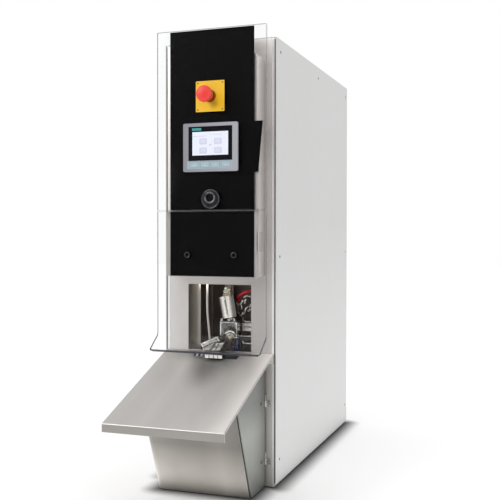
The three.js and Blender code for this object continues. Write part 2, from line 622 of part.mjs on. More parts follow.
function fillingBay() {
  const deck = BAY.deckTop;
  const back = block(-BAY.halfWidth, BAY.halfWidth, BAY.back, BAY.back + 2, 240, 640);
  const shelf = block(-BAY.halfWidth, BAY.halfWidth, 3, BAY.back + 1, deck - 3, deck);
  add('bay_frame', join(back, shelf), darkSteel());
  add('bay_side_plate', block(-100, -62.7, 28, 31, deck + GAP, 560), darkSteel());

  const { left, right, front, bottom, top, rim } = VALVE;
  const body = block(left, right, front, VALVE.back, bottom, top);
  const face = block(left + rim, right - rim, front - 1, front + 1.2, bottom + rim, top - rim);
  const arm = block(14, 34, VALVE.back - 1, 60, 365, 385);
  const post = block(14, 34, 48, 60, deck + GAP, 370);
  const onUnion = (pairs, segments) => laid(turned(pairs, segments), UNION.place, UNION.direction);
  const nut = onUnion([[0, -4], [15, -4], [15, 9], [13.5, 10], [0, 10]], 6);
  const spigot = onUnion([[0, 8], [10.5, 8], [10.5, 15], [0, 15]], 36);
  add('valve_body', join(cut(body, face), arm, post, nut, spigot), polished());
  add('nozzle_tip', onUnion([[0, 15.3], [8.2, 15.3], [8.2, 20], [5, 24], [4, 28], [0, 28]], 32), brass());

  const head = new THREE.Group();
  head.position.set(...ACTUATOR.place);
  head.rotation.y = THREE.MathUtils.degToRad(ACTUATOR.tilt);
  machine.add(head);
  const actuator = turned([
    [0, 0.3], [15, 0.3], [15, 4.6], [22.8, 5], [23.7, 5.9], [23.7, 57.8], [22.6, 59.2], [20, 59.2],
    [19.6, 54], [0, 54]], 48);
  const fitting = turned([
    [0, 54.4], [11.5, 54.4], [11.5, 65.5], [9.3, 67], [9.3, 78.5], [7, 80.5], [0, 80.5]], 32);
  add('valve_actuator', actuator.rotateX(Math.PI / 2), polished(), head);
  add('actuator_fitting', fitting.rotateX(Math.PI / 2), brass(), head);

  hose('product_hose', [
    [-41.5, BAY.back - 1, 600], [-41.5, 108, 598], [-41.4, 52, 572], [-41.6, 27, 520], [-42, 22, 470],
    [-42.4, 22, 440], [-41.4, 22, 405], [-38.6, 22, 377], [-36, 22, 351], [-34.5, 22, 325],
    [-34.2, 22, 308], [-34.2, 22, deck + 1],
  ], 2.9, 0xe9e6e2, 40);
  hose('red_air_hose', [
    [40, 34, 424], [36, 34, 436], [37.5, 33, 446.5], [45, 31, 454], [55, 30, 460], [66, 31, 464],
    [84, 40, 465], [98, 75, 455], [102, BAY.back - 1, 440],
  ], 4, 0xa01020, 32);
  hose('blue_drain_hose', [
    [42, 10.5, VALVE.bottom - 1], [42, 10.5, 346], [40, 12, 326], [37, 12, 308], [37, 12, deck + 1],
  ], 7.5, 0x101c50, 12);

  const plate = block(84, 90, 8, 60, deck + GAP, 388);
  const stack = block(54, 85, 16, 60, 367, 386);
  const rod = barX(20, 353.8, 2.3, 49, 85, 20);
  const ball = new THREE.SphereGeometry(3.4, 20, 12).translate(48.5, 20, 353.8);
  const hook = barX(16, 336.5, 2.2, 60, 85, 20);
  add('manifold', join(plate, stack, rod, ball, hook), polished());
}

function clampUnit() {
  const { front, back, bottom } = CLAMP;
  const rest = bottom - GAP;
  const arm = block(-24, 19, front + 1, 30, rest - 3.1, rest);
  const nose = block(-17, 26, front - 1, -38, 306.8, 314.2);
  const web = block(-12, 14, front + 2, -38.5, 313, rest - 1);
  const leg = block(-20, 14, 8, 30, BAY.deckTop + GAP, rest - 1);
  add('clamp_base', join(arm, nose, web, leg), darkSteel());

  const leftJaw = outline([[-32, 340], [-24, bottom], [-5.3, bottom], [8.7, 343], [20.5, 348], [12, 359]]);
  const rightJaw = outline([[-4.7, bottom], [19, bottom + 1], [32, 345], [9.3, 343]]);
  add('clamp_jaw_left', frontPlate(leftJaw, front, back), polished());
  add('clamp_jaw_right', frontPlate(rightJaw, front, back), polished());
}

// ---------------------------------------------------------------- control parts inside the cabinet

function controlParts() {
  const face = BAY.back + 2 + GAP;
  add('control_unit', block(-110, 10, face, face + 60, 470, 570), greyPlastic());
  const floor = 8 + GAP;
  const foot = block(-45, 45, 300, 470, floor, floor + 10);
  const motor = barX(345, 80, 42, -60, 30, 28);
  const saddle = block(-40, 20, 320, 370, floor + 9, 50);
  const head = block(29, 75, 310, 380, 45, 115);
  add('dosing_pump', join(foot, motor, saddle, head), greyPlastic());
}

cabinetShell();
rearPanel();
connectorPlate();
frontSheet();
operatorColumn();
touchPanel();
emergencyStop();
roundPort();
guardDoor();
workTable();
lowerHousing();
fillingBay();
clampUnit();
controlParts();

machine.position.set(0, TABLE_REACH - TOTAL_DEPTH / 2, FOOT_DROP);

export default machine;
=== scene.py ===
"""Looks of the compact filling and closing station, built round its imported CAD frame."""

import math

import bmesh
import bpy
from mathutils import Matrix, Vector


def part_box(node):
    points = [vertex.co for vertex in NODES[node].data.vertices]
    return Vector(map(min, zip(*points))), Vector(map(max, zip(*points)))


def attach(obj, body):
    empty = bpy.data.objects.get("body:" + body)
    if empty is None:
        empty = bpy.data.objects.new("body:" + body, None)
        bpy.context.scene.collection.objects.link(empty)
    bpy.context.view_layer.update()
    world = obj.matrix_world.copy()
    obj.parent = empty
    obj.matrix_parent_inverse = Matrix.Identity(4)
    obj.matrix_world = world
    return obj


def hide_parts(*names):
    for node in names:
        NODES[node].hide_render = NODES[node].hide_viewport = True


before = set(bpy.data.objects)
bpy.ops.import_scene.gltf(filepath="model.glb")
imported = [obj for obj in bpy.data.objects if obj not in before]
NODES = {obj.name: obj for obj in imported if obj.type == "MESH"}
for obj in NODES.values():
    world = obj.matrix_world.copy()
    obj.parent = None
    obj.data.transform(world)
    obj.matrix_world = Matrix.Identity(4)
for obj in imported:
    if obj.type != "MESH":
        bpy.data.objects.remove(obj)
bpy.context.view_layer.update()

SCENE = bpy.context.scene
KEYS = [f"function_key_{i}" for i in (1, 2, 3, 4)]
MM = 0.001
# Places are millimetres from the cabinet's front face and from the side panels' bottom edge, as in the CAD.
FRONT_FACE_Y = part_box("front_sheet")[0].y
PANEL_BOTTOM_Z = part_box("side_panel_left")[0].z
SIDE_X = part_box("side_panel_right")[1].x / MM
REAR_Y = (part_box("rear_panel")[1].y - FRONT_FACE_Y) / MM
TOP_Z = (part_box("top_panel")[1].z - PANEL_BOTTOM_Z) / MM

TO_FRONT = Vector((0, -1, 0))
TO_REAR = Vector((0, 1, 0))
TO_RIGHT = Vector((1, 0, 0))
TO_LEFT = Vector((-1, 0, 0))
UP = Vector((0, 0, 1))
ORIGIN = Vector((0, 0, 0))


def at(x, y, z):
    """A place in the row frame, from millimetres."""
    return Vector((x * MM, FRONT_FACE_Y + y * MM, PANEL_BOTTOM_Z + z * MM))


# ------------------------------------------------------------------ camera, lights and floor

# lens and sensor in millimetres, the rest in metres and radians
LENS = 59.91
SENSOR_WIDTH = 36
CLIP_END = 60
YAW = math.radians(19.553)
PITCH = math.radians(0.952)
ROLL = math.radians(0.043)
CAMERA_PLACE = Vector((0.7552, -2.1260, 0.6079))


def make_camera():
    """The camera at the standpoint the machine is seen from."""
    data = bpy.data.cameras.new("camera")
    data.lens = LENS
    data.sensor_width = SENSOR_WIDTH
    data.clip_end = CLIP_END
    camera = bpy.data.objects.new("camera", data)
    SCENE.collection.objects.link(camera)
    back = Vector((math.sin(YAW) * math.cos(PITCH), -math.cos(YAW) * math.cos(PITCH), math.sin(PITCH)))
    roll = Matrix.Rotation(ROLL, 3, "Z").to_quaternion()
    camera.rotation_mode = "QUATERNION"
    camera.rotation_quaternion = (-back).to_track_quat("-Z", "Y") @ roll
    camera.location = CAMERA_PLACE
    SCENE.camera = camera


def area_light(name, place, target, size, power, color=(1, 1, 1)):
    """A rectangular lamp that faces its target and that the camera does not see."""
    data = bpy.data.lights.new(name, "AREA")
    data.shape = "RECTANGLE"
    data.size, data.size_y = size
    data.energy = power
    data.color = color
    lamp = bpy.data.objects.new(name, data)
    lamp.location = place
    lamp.rotation_mode = "QUATERNION"
    lamp.rotation_quaternion = (Vector(target) - Vector(place)).to_track_quat("-Z", "Y")
    lamp.visible_camera = False
    SCENE.collection.objects.link(lamp)


# the studio's floor and dark flag, in metres
FLOOR_REACH = 14
FLAG_X = (-1.86, -0.25)
FLAG_Y = -4.0
FLAG_Z = (-0.3, 2.2)
# a stage sheet's fine texture: noise scale, bump strength and bump distance
STAGE_GRAIN = 40
STAGE_BUMP = (0.02, 0.0005)
# footprints of the cabinet and of the lower housing, round which the floor's contact shadow is painted:
# middle and half size, metres
FOOTPRINTS = (((0, 0.1535, 0), (0.140, 0.370, 1)), ((0, -0.262, 0), (0.114, 0.056, 1)))
# how far the painted contact shadow reaches out from the footprints, metres
BASE_SHADE_REACH = 0.062


def stage_sheet(name, corners, material):
    """A flat four-cornered sheet of the studio, which is no part of the machine."""
    mesh = bpy.data.meshes.new(name)
    mesh.from_pydata(corners, [], [(0, 1, 2, 3)])
    sheet = bpy.data.objects.new(name, mesh)
    SCENE.collection.objects.link(sheet)
    mesh.materials.append(material)
    return sheet


def make_studio():
    """White surroundings, four lamps, the floor with its painted contact shadow, and the dark flag."""
    world = bpy.data.worlds.new("studio")
    world.use_nodes = True
    world.node_tree.nodes["Background"].inputs["Color"].default_value = (1, 1, 1, 1)
    world.node_tree.nodes["Background"].inputs["Strength"].default_value = 1.0
    SCENE.world = world
    SCENE.view_settings.view_transform = "Standard"

    area_light("key_left", (-1.9, -2.4, 2.3), (0, -0.2, 0.6), (1.6, 1.6), 22)
    area_light("side_right", (2.6, 0.2, 1.3), (0, 0.1, 0.4), (1.6, 1.8), 6)
    area_light("top_fill", at(30, -27, 1180), at(30, -8, 1060), (0.26, 0.04), 0.22)
    area_light("bay_fill", at(-10, 12, 476), at(0, 120, 380), (0.12, 0.02), 0.022, (1, 0.93, 0.86))

    surface = Surface("studio_floor", (0.97, 0.97, 0.97), 0.85)
    surface.bump(surface.noise(STAGE_GRAIN), *STAGE_BUMP)
    # painted contact shadow: the floor's glow and colour fall away beside the machine's foot
    surface.shader.inputs["Emission Color"].default_value = (1, 1, 1, 1)
    surface.links.new(surface.painted_contact_shadow(0.0, 0.07), surface.shader.inputs["Emission Strength"])
    surface.blend_base(surface.painted_contact_shadow(0.0, 1.0), 0.09)
    corners = [(sx * FLOOR_REACH, sy * FLOOR_REACH, 0) for sx, sy in ((-1, -1), (1, -1), (1, 1), (-1, 1))]
    stage_sheet("floor", corners, surface.material)

    # a dark flag in front, left of the camera, which the black films mirror
    surface = Surface("studio_flag", (0.012, 0.012, 0.013), 0.9)
    surface.bump(surface.noise(STAGE_GRAIN), *STAGE_BUMP)
    (left, right), (bottom, top) = FLAG_X, FLAG_Z
    corners = [(left, FLAG_Y, bottom), (right, FLAG_Y, bottom), (right, FLAG_Y, top), (left, FLAG_Y, top)]
    flag = stage_sheet("flag", corners, surface.material)
    flag.visible_camera = False


# ------------------------------------------------------------------ materials


class Surface:
    """A Principled material with its own noise, colour spread, roughness spread and bump."""

    def __init__(self, name, color, roughness, metallic=0.0, **values):
        self.material = bpy.data.materials.new(name)
        self.material.use_nodes = True
        self.nodes = self.material.node_tree.nodes
        self.links = self.material.node_tree.links
        self.shader = self.nodes["Principled BSDF"]
        self.color = color
        self.shader.inputs["Base Color"].default_value = (*color, 1)
        self.shader.inputs["Roughness"].default_value = roughness
        self.shader.inputs["Metallic"].default_value = metallic
        for socket, value in values.items():
            self.shader.inputs[socket.replace("_", " ")].default_value = value
        self.normal = None

    def noise(self, scale, stretch=(1, 1, 1), detail=3.0):
        """Noise by the object's own coordinates; stretch below 1 draws it out along that axis."""
        place = self.nodes.new("ShaderNodeTexCoord")
        mapping = self.nodes.new("ShaderNodeMapping")
        mapping.inputs["Scale"].default_value = [scale * s for s in stretch]
        texture = self.nodes.new("ShaderNodeTexNoise")
        texture.inputs["Scale"].default_value = 1.0
        texture.inputs["Detail"].default_value = detail
        self.links.new(place.outputs["Object"], mapping.inputs["Vector"])
        self.links.new(mapping.outputs["Vector"], texture.inputs["Vector"])
        return texture.outputs["Fac"]

    def spread(self, factor, low, high, start=0.3, end=0.7):
        """From low where the factor is at start to high where it is at end, and held beyond them."""
        node = self.nodes.new("ShaderNodeMapRange")
        node.inputs["From Min"].default_value = start
        node.inputs["From Max"].default_value = end
        node.inputs["To Min"].default_value = low
        node.inputs["To Max"].default_value = high
        self.links.new(factor, node.inputs["Value"])
        return node.outputs["Result"]

    def tint(self, factor, darker, lighter):
        """Colour between two shares of the base colour."""
        node = self.nodes.new("ShaderNodeMix")
        node.data_type = "RGBA"
        node.inputs["A"].default_value = (*[c * darker for c in self.color], 1)
        node.inputs["B"].default_value = (*[min(1.0, c * lighter) for c in self.color], 1)
        self.links.new(self.spread(factor, 0, 1), node.inputs["Factor"])
        self.links.new(node.outputs["Result"], self.shader.inputs["Base Color"])

    def distance(self, *steps):
        """The length left after these vector steps, (operation, value), on the object's own coordinates."""
        vector = self.nodes.new("ShaderNodeTexCoord").outputs["Object"]
        for operation, value in steps:
            node = self.nodes.new("ShaderNodeVectorMath")
            node.operation = operation
            node.inputs[1].default_value = value
            self.links.new(vector, node.inputs[0])
            vector = node.outputs["Vector"]
        node = self.nodes.new("ShaderNodeVectorMath")
        node.operation = "LENGTH"
        self.links.new(vector, node.inputs[0])
        return node.outputs["Value"]

    def fade(self, distance, reach, low, high):
        """From low at no distance smoothly to high at the reach."""
        node = self.nodes.new("ShaderNodeMapRange")
        node.interpolation_type = "SMOOTHSTEP"
        node.inputs["From Max"].default_value = reach
        node.inputs["To Min"].default_value = low
        node.inputs["To Max"].default_value = high
        self.links.new(distance, node.inputs["Value"])
        return node.outputs["Result"]

    def painted_contact_shadow(self, low, high):
        """A painted contact shadow: from low beside the machine's foot to high where the painted shadow ends.
        """
        nearest = self.nodes.new("ShaderNodeMath")
        nearest.operation = "MINIMUM"
        for socket, (middle, half) in zip(nearest.inputs, FOOTPRINTS):
            away = self.distance(("SUBTRACT", middle), ("ABSOLUTE", ORIGIN), ("SUBTRACT", half),
                                 ("MAXIMUM", ORIGIN))
            self.links.new(away, socket)
        return self.fade(nearest.outputs["Value"], BASE_SHADE_REACH, low, high)

    def multiply(self, value):
        """Multiplies the colour made so far by a value."""
        socket = self.shader.inputs["Base Color"]
        node = self.nodes.new("ShaderNodeVectorMath")
        node.operation = "SCALE"
        self.links.new(socket.links[0].from_socket, node.inputs[0])
        self.links.new(value, node.inputs["Scale"])
        self.links.new(node.outputs["Vector"], socket)

    def profile(self, direction, stops):
        """Painted light and shade: multiplies the colour by shares given at places along a direction of the
        row frame, in metres.
        """
        place = self.nodes.new("ShaderNodeTexCoord")
        measure = self.nodes.new("ShaderNodeVectorMath")
        measure.operation = "DOT_PRODUCT"
        measure.inputs[1].default_value = direction
        self.links.new(place.outputs["Object"], measure.inputs[0])
        total = None
        for (start, first), (end, last) in zip(stops, stops[1:]):
            step = self.spread(measure.outputs["Value"], 0, last - first, start, end)
            node = self.nodes.new("ShaderNodeMath")
            node.operation = "ADD"
            node.inputs[1].default_value = first
            if total is not None:
                self.links.new(total, node.inputs[1])
            self.links.new(step, node.inputs[0])
            total = node.outputs["Value"]
        self.multiply(total)

    def spot(self, centre, reach, share):
        """Painted shade: multiplies colour by a share at a centre, fading out at a reach along each axis, in
        metres.
        """
        away = self.distance(("SUBTRACT", centre), ("DIVIDE", reach))
        self.multiply(self.fade(away, 1, share, 1))

    def shade(self, shades, spots):
        """Paints light and shade: multiplies the colour by every profile (direction, stops) and every spot
        (centre, reach, share).
        """
        for direction, stops in shades:
            self.profile(direction, stops)
        for centre, reach, share in spots:
            self.spot(centre, reach, share)

    def blend_base(self, factor, darker):
        """Colour from a darker share of the base colour, where the factor is 0, to the base colour itself."""
        node = self.nodes.new("ShaderNodeMix")
        node.data_type = "RGBA"
        node.inputs["A"].default_value = (*[c * darker for c in self.color], 1)
        node.inputs["B"].default_value = (*self.color, 1)
        self.links.new(factor, node.inputs["Factor"])
        self.links.new(node.outputs["Result"], self.shader.inputs["Base Color"])

    def rough(self, factor, low, high):
        """Roughness between low and high."""
        self.links.new(self.spread(factor, low, high), self.shader.inputs["Roughness"])

    def bump(self, factor, strength, distance):
        """Fine relief, laid over any relief made before it."""
        node = self.nodes.new("ShaderNodeBump")
        node.inputs["Strength"].default_value = strength
        node.inputs["Distance"].default_value = distance
        self.links.new(factor, node.inputs["Height"])
        if self.normal is not None:
            self.links.new(self.normal, node.inputs["Normal"])
        self.normal = node.outputs["Normal"]
        self.links.new(self.normal, self.shader.inputs["Normal"])


LOOKS = {}
# brushing: the noise scale across the lines, and how far it is drawn out along them
GRAIN = 1300
ALONG = 0.012


def brushed(name, color, low, high, grain, depth=0.12, metallic=1.0, cloud=(7, (1, 1, 0.6), 0.94, 1.05),
            shades=(), spots=()):
    """Stainless sheet, brushed along one axis, with faint broad clouding that is partly uneven tone and
    partly painted reflection.
    """
    surface = Surface(name, color, low, metallic)
    stretch = [ALONG if axis == grain else 1 for axis in "xyz"]
    lines = surface.noise(GRAIN, stretch, 4)
    surface.rough(lines, low, high)
    scale, drawn, darker, lighter = cloud
    surface.tint(surface.noise(scale, drawn), darker, lighter)
    surface.shade(shades, spots)
    surface.bump(lines, depth, 0.00003)
    LOOKS[name] = surface.material


def coated(name, color, roughness, grit=900, depth=0.06, specular=0.5, shades=(), spots=()):
    """Satin powder coat or moulded plastic: fine skin texture and faint clouding."""
    surface = Surface(name, color, roughness, Specular_IOR_Level=specular)
    skin = surface.noise(grit)
    surface.rough(surface.noise(30), roughness - 0.02, roughness + 0.02)
    surface.tint(surface.noise(5), 0.995, 1.004)
    surface.shade(shades, spots)
    surface.bump(skin, depth, 0.0001)
    LOOKS[name] = surface.material


def polished(name, color, low, high, darker=0.9, patches=40, stretch=(1, 1, 1), shades=()):
    """Turned, plated or polished metal, with mottled patches that stand in for what it mirrors."""
    surface = Surface(name, color, low, 1.0)
    surface.rough(surface.noise(160), low, high)
    surface.tint(surface.noise(patches, stretch), darker, 1.06)
    surface.shade(shades, ())
    surface.bump(surface.noise(220), 0.05, 0.0002)
    LOOKS[name] = surface.material


def clear_sheet():
    """Clear acrylic: seen through, with a mirror of its surroundings that grows towards grazing angles."""
    surface = Surface("clear_acrylic", (0.9, 0.93, 0.95), 0.02)
    nodes, links = surface.nodes, surface.links
    through = nodes.new("ShaderNodeBsdfTransparent")
    through.inputs["Color"].default_value = (0.985, 0.988, 0.99, 1)
    mirror = nodes.new("ShaderNodeBsdfGlossy")
    links.new(surface.spread(surface.noise(9), 0.02, 0.06), mirror.inputs["Roughness"])
    grazing = nodes.new("ShaderNodeLayerWeight")
    grazing.inputs["Blend"].default_value = 0.045
    mix = nodes.new("ShaderNodeMixShader")
    links.new(grazing.outputs["Facing"], mix.inputs["Fac"])
    links.new(through.outputs["BSDF"], mix.inputs[1])
    links.new(mirror.outputs["BSDF"], mix.inputs[2])
    links.new(mix.outputs["Shader"], nodes["Material Output"].inputs["Surface"])
    LOOKS["clear"] = surface.material


def clear_edge(name, color, alpha):
    """The sawn edge of the clear sheet, which gathers light and looks greyer than its faces."""
    surface = Surface(name, color, 0.25, Alpha=alpha)
    surface.tint(surface.noise(300), 0.85, 1.15)
    surface.rough(surface.noise(500), 0.15, 0.4)
    LOOKS[name] = surface.material


def glowing(name, color, strength):
    """A part of the lit display."""
    surface = Surface(name, color, 0.2)
    surface.tint(surface.noise(60), 0.985, 1.01)
    surface.shader.inputs["Emission Color"].default_value = (*color, 1)
    surface.shader.inputs["Emission Strength"].default_value = strength
    LOOKS[name] = surface.material


ALONG_X = (1, 0, 0)
ALONG_Y = (0, 1, 0)
UPRIGHT = (0, 0, 1)
# across the leaning actuator, and where its middle line lies on that measure, for the shading painted across
# it
ACROSS_CAN = (0.985, 0, 0.170)
CAN_AXIS = 0.0961

# shades and spots are painted light and shade; they lie at places of the row frame, in metres
# painted light: brighter to the left and at the right edge, and much brighter at the top above the column
brushed("stainless_front", (0.58, 0.55, 0.53), 0.36, 0.50, "z", 0.12, 0.7, shades=[
    (ALONG_X, [(-0.11, 1.26), (0.09, 0.98), (0.124, 0.99), (0.134, 1.12)]),
    (UPRIGHT, [(1.02, 0.95), (1.05, 1.5)])])
# painted highlight along the column's right front edge, and painted shade darkening its flank towards the
# back
brushed("stainless_column", (0.72, 0.68, 0.655), 0.32, 0.46, "z", shades=[
    (ALONG_X, [(0.1085, 1.38), (0.1105, 1.35), (0.113, 1.15), (0.117, 1.0)]),
    (ALONG_Y, [(-0.2695, 1.0), (-0.222, 0.76)])])
# lit and shaded copies of the table's steel: a painted highlight on the fold's curve, a painted darker
# reflection on its nose
brushed("stainless_fold_highlight", (0.66, 0.64, 0.62), 0.30, 0.40, "x", 0.06)
brushed("stainless_nose_dark_reflection", (0.36, 0.345, 0.32), 0.36, 0.48, "x")
# a painted shade line in the gap at the hinge's edge
brushed("hinge_steel", (0.50, 0.475, 0.455), 0.34, 0.48, "z", shades=[
    (ALONG_X, [(0.1160, 0.18), (0.1175, 1.0)])])
coated("backing_pale", (0.42, 0.395, 0.38), 0.4)
# a near-white copy of the stainless, a painted highlight down the walls' front flanges
brushed("stainless_edge_highlight", (0.97, 0.94, 0.92), 0.34, 0.48, "z")
# painted light and shade: a bright band at the left corner, darker to the right, bright at the foot and
# shaded under the table
brushed("stainless_housing", (0.53, 0.505, 0.47), 0.34, 0.48, "z",
        cloud=(7, (1, 1, 0.8), 0.93, 1.06), shades=[
    (ALONG_X, [(-0.121, 1.5), (-0.104, 1.12), (-0.06, 1.0), (0.02, 0.97), (0.06, 1.06), (0.11, 0.84)]),
    (UPRIGHT, [(0.030, 1.5), (0.078, 1.06), (0.128, 0.58)])])
brushed("stainless_across", (0.58, 0.545, 0.525), 0.28, 0.42, "x")
# painted reflection and shade on the table: brighter towards its right edge, with two painted darker patches
brushed("stainless_deep", (0.51, 0.49, 0.47), 0.40, 0.54, "y", 0.10, 0.62, (13, (1, 0.10, 0.5), 0.92, 1.07), [
    (ALONG_X, [(-0.13, 0.95), (0.02, 1.05), (0.07, 1.17), (0.10, 1.42), (0.138, 1.8), (0.1405, 1.0)])],
    [((0.005, -0.292, 0.30), (0.075, 0.125, 1), 0.42), ((-0.07, -0.232, 0.30), (0.10, 0.06, 1), 0.72)])
# painted light and shade: brightest at mid height, shaded towards the top under the table
brushed("stainless_door", (0.31, 0.32, 0.30), 0.34, 0.48, "z", cloud=(6, (1, 1, 0.9), 0.9, 1.08), shades=[
    (UPRIGHT, [(0.055, 0.97), (0.148, 1.19), (0.218, 0.73)])])
brushed("dark_steel", (0.15, 0.122, 0.10), 0.4, 0.55, "z", 0.1, 0.5)
brushed("side_steel", (0.40, 0.36, 0.30), 0.34, 0.5, "z", 0.1, 0.6)
# painted light: lighter towards the bottom, where the floor throws light back
coated("painted_panel", (0.555, 0.555, 0.552), 0.42, shades=[
    (UPRIGHT, [(0.05, 1.16), (0.65, 0.93)])])
coated("painted_rear", (0.565, 0.563, 0.56), 0.45)
coated("black_film", (0.0035, 0.003, 0.0035), 0.40, 1500, 0.002, 0.06)
coated("black_plastic", (0.009, 0.009, 0.010), 0.30, 1100, 0.02, 0.35)
coated("port_plastic", (0.014, 0.014, 0.016), 0.28, 1000, 0.02, 0.4)
polished("port_edge", (0.20, 0.20, 0.215), 0.18, 0.3, 0.12, 130)
coated("rubber", (0.02, 0.02, 0.02), 0.75, 700, 0.15)
coated("grey_plastic", (0.26, 0.27, 0.28), 0.45, 900, 0.1)
coated("light_plastic", (0.55, 0.55, 0.53), 0.4, 900, 0.1)
# painted shade: the bezel darker to the left and lighter to the right
coated("silver_plastic", (0.31, 0.31, 0.34), 0.34, 1400, 0.03,
       shades=[(ALONG_X, [(-0.069, 0.78), (0.0, 1.0), (0.071, 1.16)])])
coated("red_collar", (0.22, 0.026, 0.003), 0.4, 1200, 0.03)
coated("teal_bar", (0.05, 0.30, 0.29), 0.3, 1200, 0.02)
coated("screen_glass", (0.008, 0.008, 0.011), 0.14, 60, 0.006, 0.3)
coated("key_plastic", (0.34, 0.45, 0.50), 0.42, 1200, 0.06)
coated("key_strip", (0.31, 0.41, 0.46), 0.4, 1200, 0.05)
# painted shadow of the mushroom cap on the plate, below and right of it
coated("yellow_plate", (0.87, 0.51, 0.015), 0.38, 1200, 0.05,
       spots=[((0.009, -0.282, 0.924), (0.018, 1, 0.019), 0.55)])
# painted shading: the cap darker along its flank towards the back
coated("red_cap", (0.80, 0.045, 0.035), 0.30, 1200, 0.05,
       shades=[(ALONG_Y, [(-0.322, 1.0), (-0.316, 0.7), (-0.300, 0.6)])])
coated("red_tube", (0.45, 0.015, 0.03), 0.3, 900, 0.05)
coated("blue_tube", (0.006, 0.010, 0.055), 0.2, 900, 0.02)
coated("white_tube", (0.66, 0.61, 0.56), 0.35, 900, 0.05)
polished("bright_steel", (0.80, 0.77, 0.74), 0.14, 0.26, 0.66, 45)
# painted shading across the can: dark at both edges, bright in the middle
polished("actuator_steel", (0.80, 0.755, 0.70), 0.14, 0.26, 0.62, 90, (1, 1, 0.03),
         [(ACROSS_CAN, [(CAN_AXIS - 0.017, 0.12), (CAN_AXIS - 0.0126, 0.29),
                        (CAN_AXIS - 0.0092, 0.72), (CAN_AXIS - 0.006, 1.2),
                        (CAN_AXIS + 0.010, 1.25), (CAN_AXIS + 0.0122, 0.64),
                        (CAN_AXIS + 0.0144, 0.38), (CAN_AXIS + 0.018, 0.17)])])
# a darker copy of the jaws' steel, painted shade on the jaws and clamp base; also the dark screw heads' own
# colour
polished("jaw_shade_and_dark_screws", (0.26, 0.245, 0.23), 0.22, 0.36, 0.7, 40)
polished("valve_face", (0.27, 0.26, 0.25), 0.2, 0.34, 0.6, 70)
polished("tip_brass", (0.40, 0.35, 0.27), 0.24, 0.38, 0.6, 80)
# a lighter copy of the side plate's steel, a painted highlight for its rounded edge
brushed("side_edge_highlight", (0.50, 0.46, 0.42), 0.34, 0.5, "z", 0.1, 0.8)
brushed("bay_brown", (0.34, 0.27, 0.22), 0.4, 0.55, "z", 0.1, 0.4)
polished("satin_steel", (0.62, 0.60, 0.57), 0.22, 0.36, 0.6, 40)
polished("screw_steel", (0.03, 0.029, 0.028), 0.3, 0.45)
polished("brass", (0.62, 0.50, 0.30), 0.2, 0.34)
polished("nickel_brass", (0.70, 0.71, 0.58), 0.22, 0.36)
polished("knurled", (0.60, 0.54, 0.44), 0.26, 0.40)
clear_sheet()
clear_edge("clear_edge", (0.20, 0.20, 0.235), 0.8)
clear_edge("clear_edge_dark", (0.045, 0.042, 0.065), 0.92)
clear_edge("clear_edge_faint", (0.16, 0.16, 0.17), 0.2)
glowing("display", (0.73, 0.76, 0.86), 0.10)
glowing("display_icon", (0.58, 0.58, 0.72), 0.08)
glowing("display_inner", (0.64, 0.65, 0.79), 0.08)
glowing("display_line", (0.60, 0.62, 0.73), 0.08)

CAD_LOOKS = {
    "stainless_edge_highlight": ["wall_left", "wall_right"],
    "stainless_column": ["column_cover"],
    "stainless_front": ["front_sheet"],
    "stainless_housing": ["housing_shell"],
    "stainless_across": ["base_plate", "housing_floor", "connector_plate"],
    "stainless_deep": ["work_table"],
    "stainless_door": ["service_door"],
    "dark_steel": ["bay_frame"],
    "hinge_steel": ["door_hinge"],
    "side_steel": ["bay_side_plate"],
    "painted_panel": ["side_panel_left", "side_panel_right", "top_panel"],
    "painted_rear": ["rear_panel"],
    "black_film": ["upper_fascia", "lower_fascia", "door_screw_left", "door_screw_right"],
    "red_collar": ["estop_collar"],
    "black_plastic": ["estop_plunger", "power_inlet", "power_switch"],
    "port_plastic": ["port_flange"],
    "rubber": ["foot_front_left", "foot_front_right", "foot_rear_left", "foot_rear_right", "power_rocker"],
    "grey_plastic": ["hmi_housing", "estop_contact_block", "control_unit", "dosing_pump"],
    "silver_plastic": ["hmi_bezel"],
    "backing_pale": ["door_backing"],
    "screen_glass": ["hmi_screen"],
    "key_plastic": KEYS,
    "yellow_plate": ["estop_plate"],
    "bright_steel": ["manifold"],
    "satin_steel": ["service_hinge_lower", "service_hinge_upper"],
    "valve_face": ["valve_body"],
    "jaw_shade_and_dark_screws": ["clamp_jaw_left", "clamp_jaw_right", "clamp_base"],
    "brass": ["air_inlet_fitting"],
    "tip_brass": ["nozzle_tip"],
    "white_tube": ["product_hose"],
    "red_tube": ["red_air_hose"],
    "blue_tube": ["blue_drain_hose"],
}

# rounded edges in millimetres: the usual size, and the nodes that have their own
CAD_BEVEL = 0.35
OWN_BEVEL = {"hmi_bezel": 0.7, "estop_plate": 0.25, "port_flange": 0.6, "work_table": 0.5, "valve_body": 0.7,
             "clamp_jaw_left": 0.8, "clamp_jaw_right": 0.8, "side_panel_left": 0.5, "side_panel_right": 0.5}
OWN_BEVEL |= dict.fromkeys(KEYS, 0.5)
BEVEL_SEGMENTS = 2
BEVEL_ANGLE = math.radians(35)
WELD_DISTANCE = 1e-6
# the table's front fold, whose curve has a painted highlight and whose nose a painted darker reflection:
# where it starts, and how far its nose and its curve lean to the front
FOLD_START = -322
NOSE_LEAN = 0.93
FOLD_LEAN = 0.6


def soften(piece, width):
    """Welded, with small rounded edges if they have a width, and normals that keep the flats flat."""
    weld = piece.modifiers.new("weld", "WELD")
    weld.merge_threshold = WELD_DISTANCE
    if width:
        bevel = piece.modifiers.new("bevel", "BEVEL")
        bevel.width = width * MM
        bevel.segments = BEVEL_SEGMENTS
        bevel.limit_method = "ANGLE"
        bevel.angle_limit = BEVEL_ANGLE
    shading = piece.modifiers.new("normals", "WEIGHTED_NORMAL")
    shading.keep_sharp = False


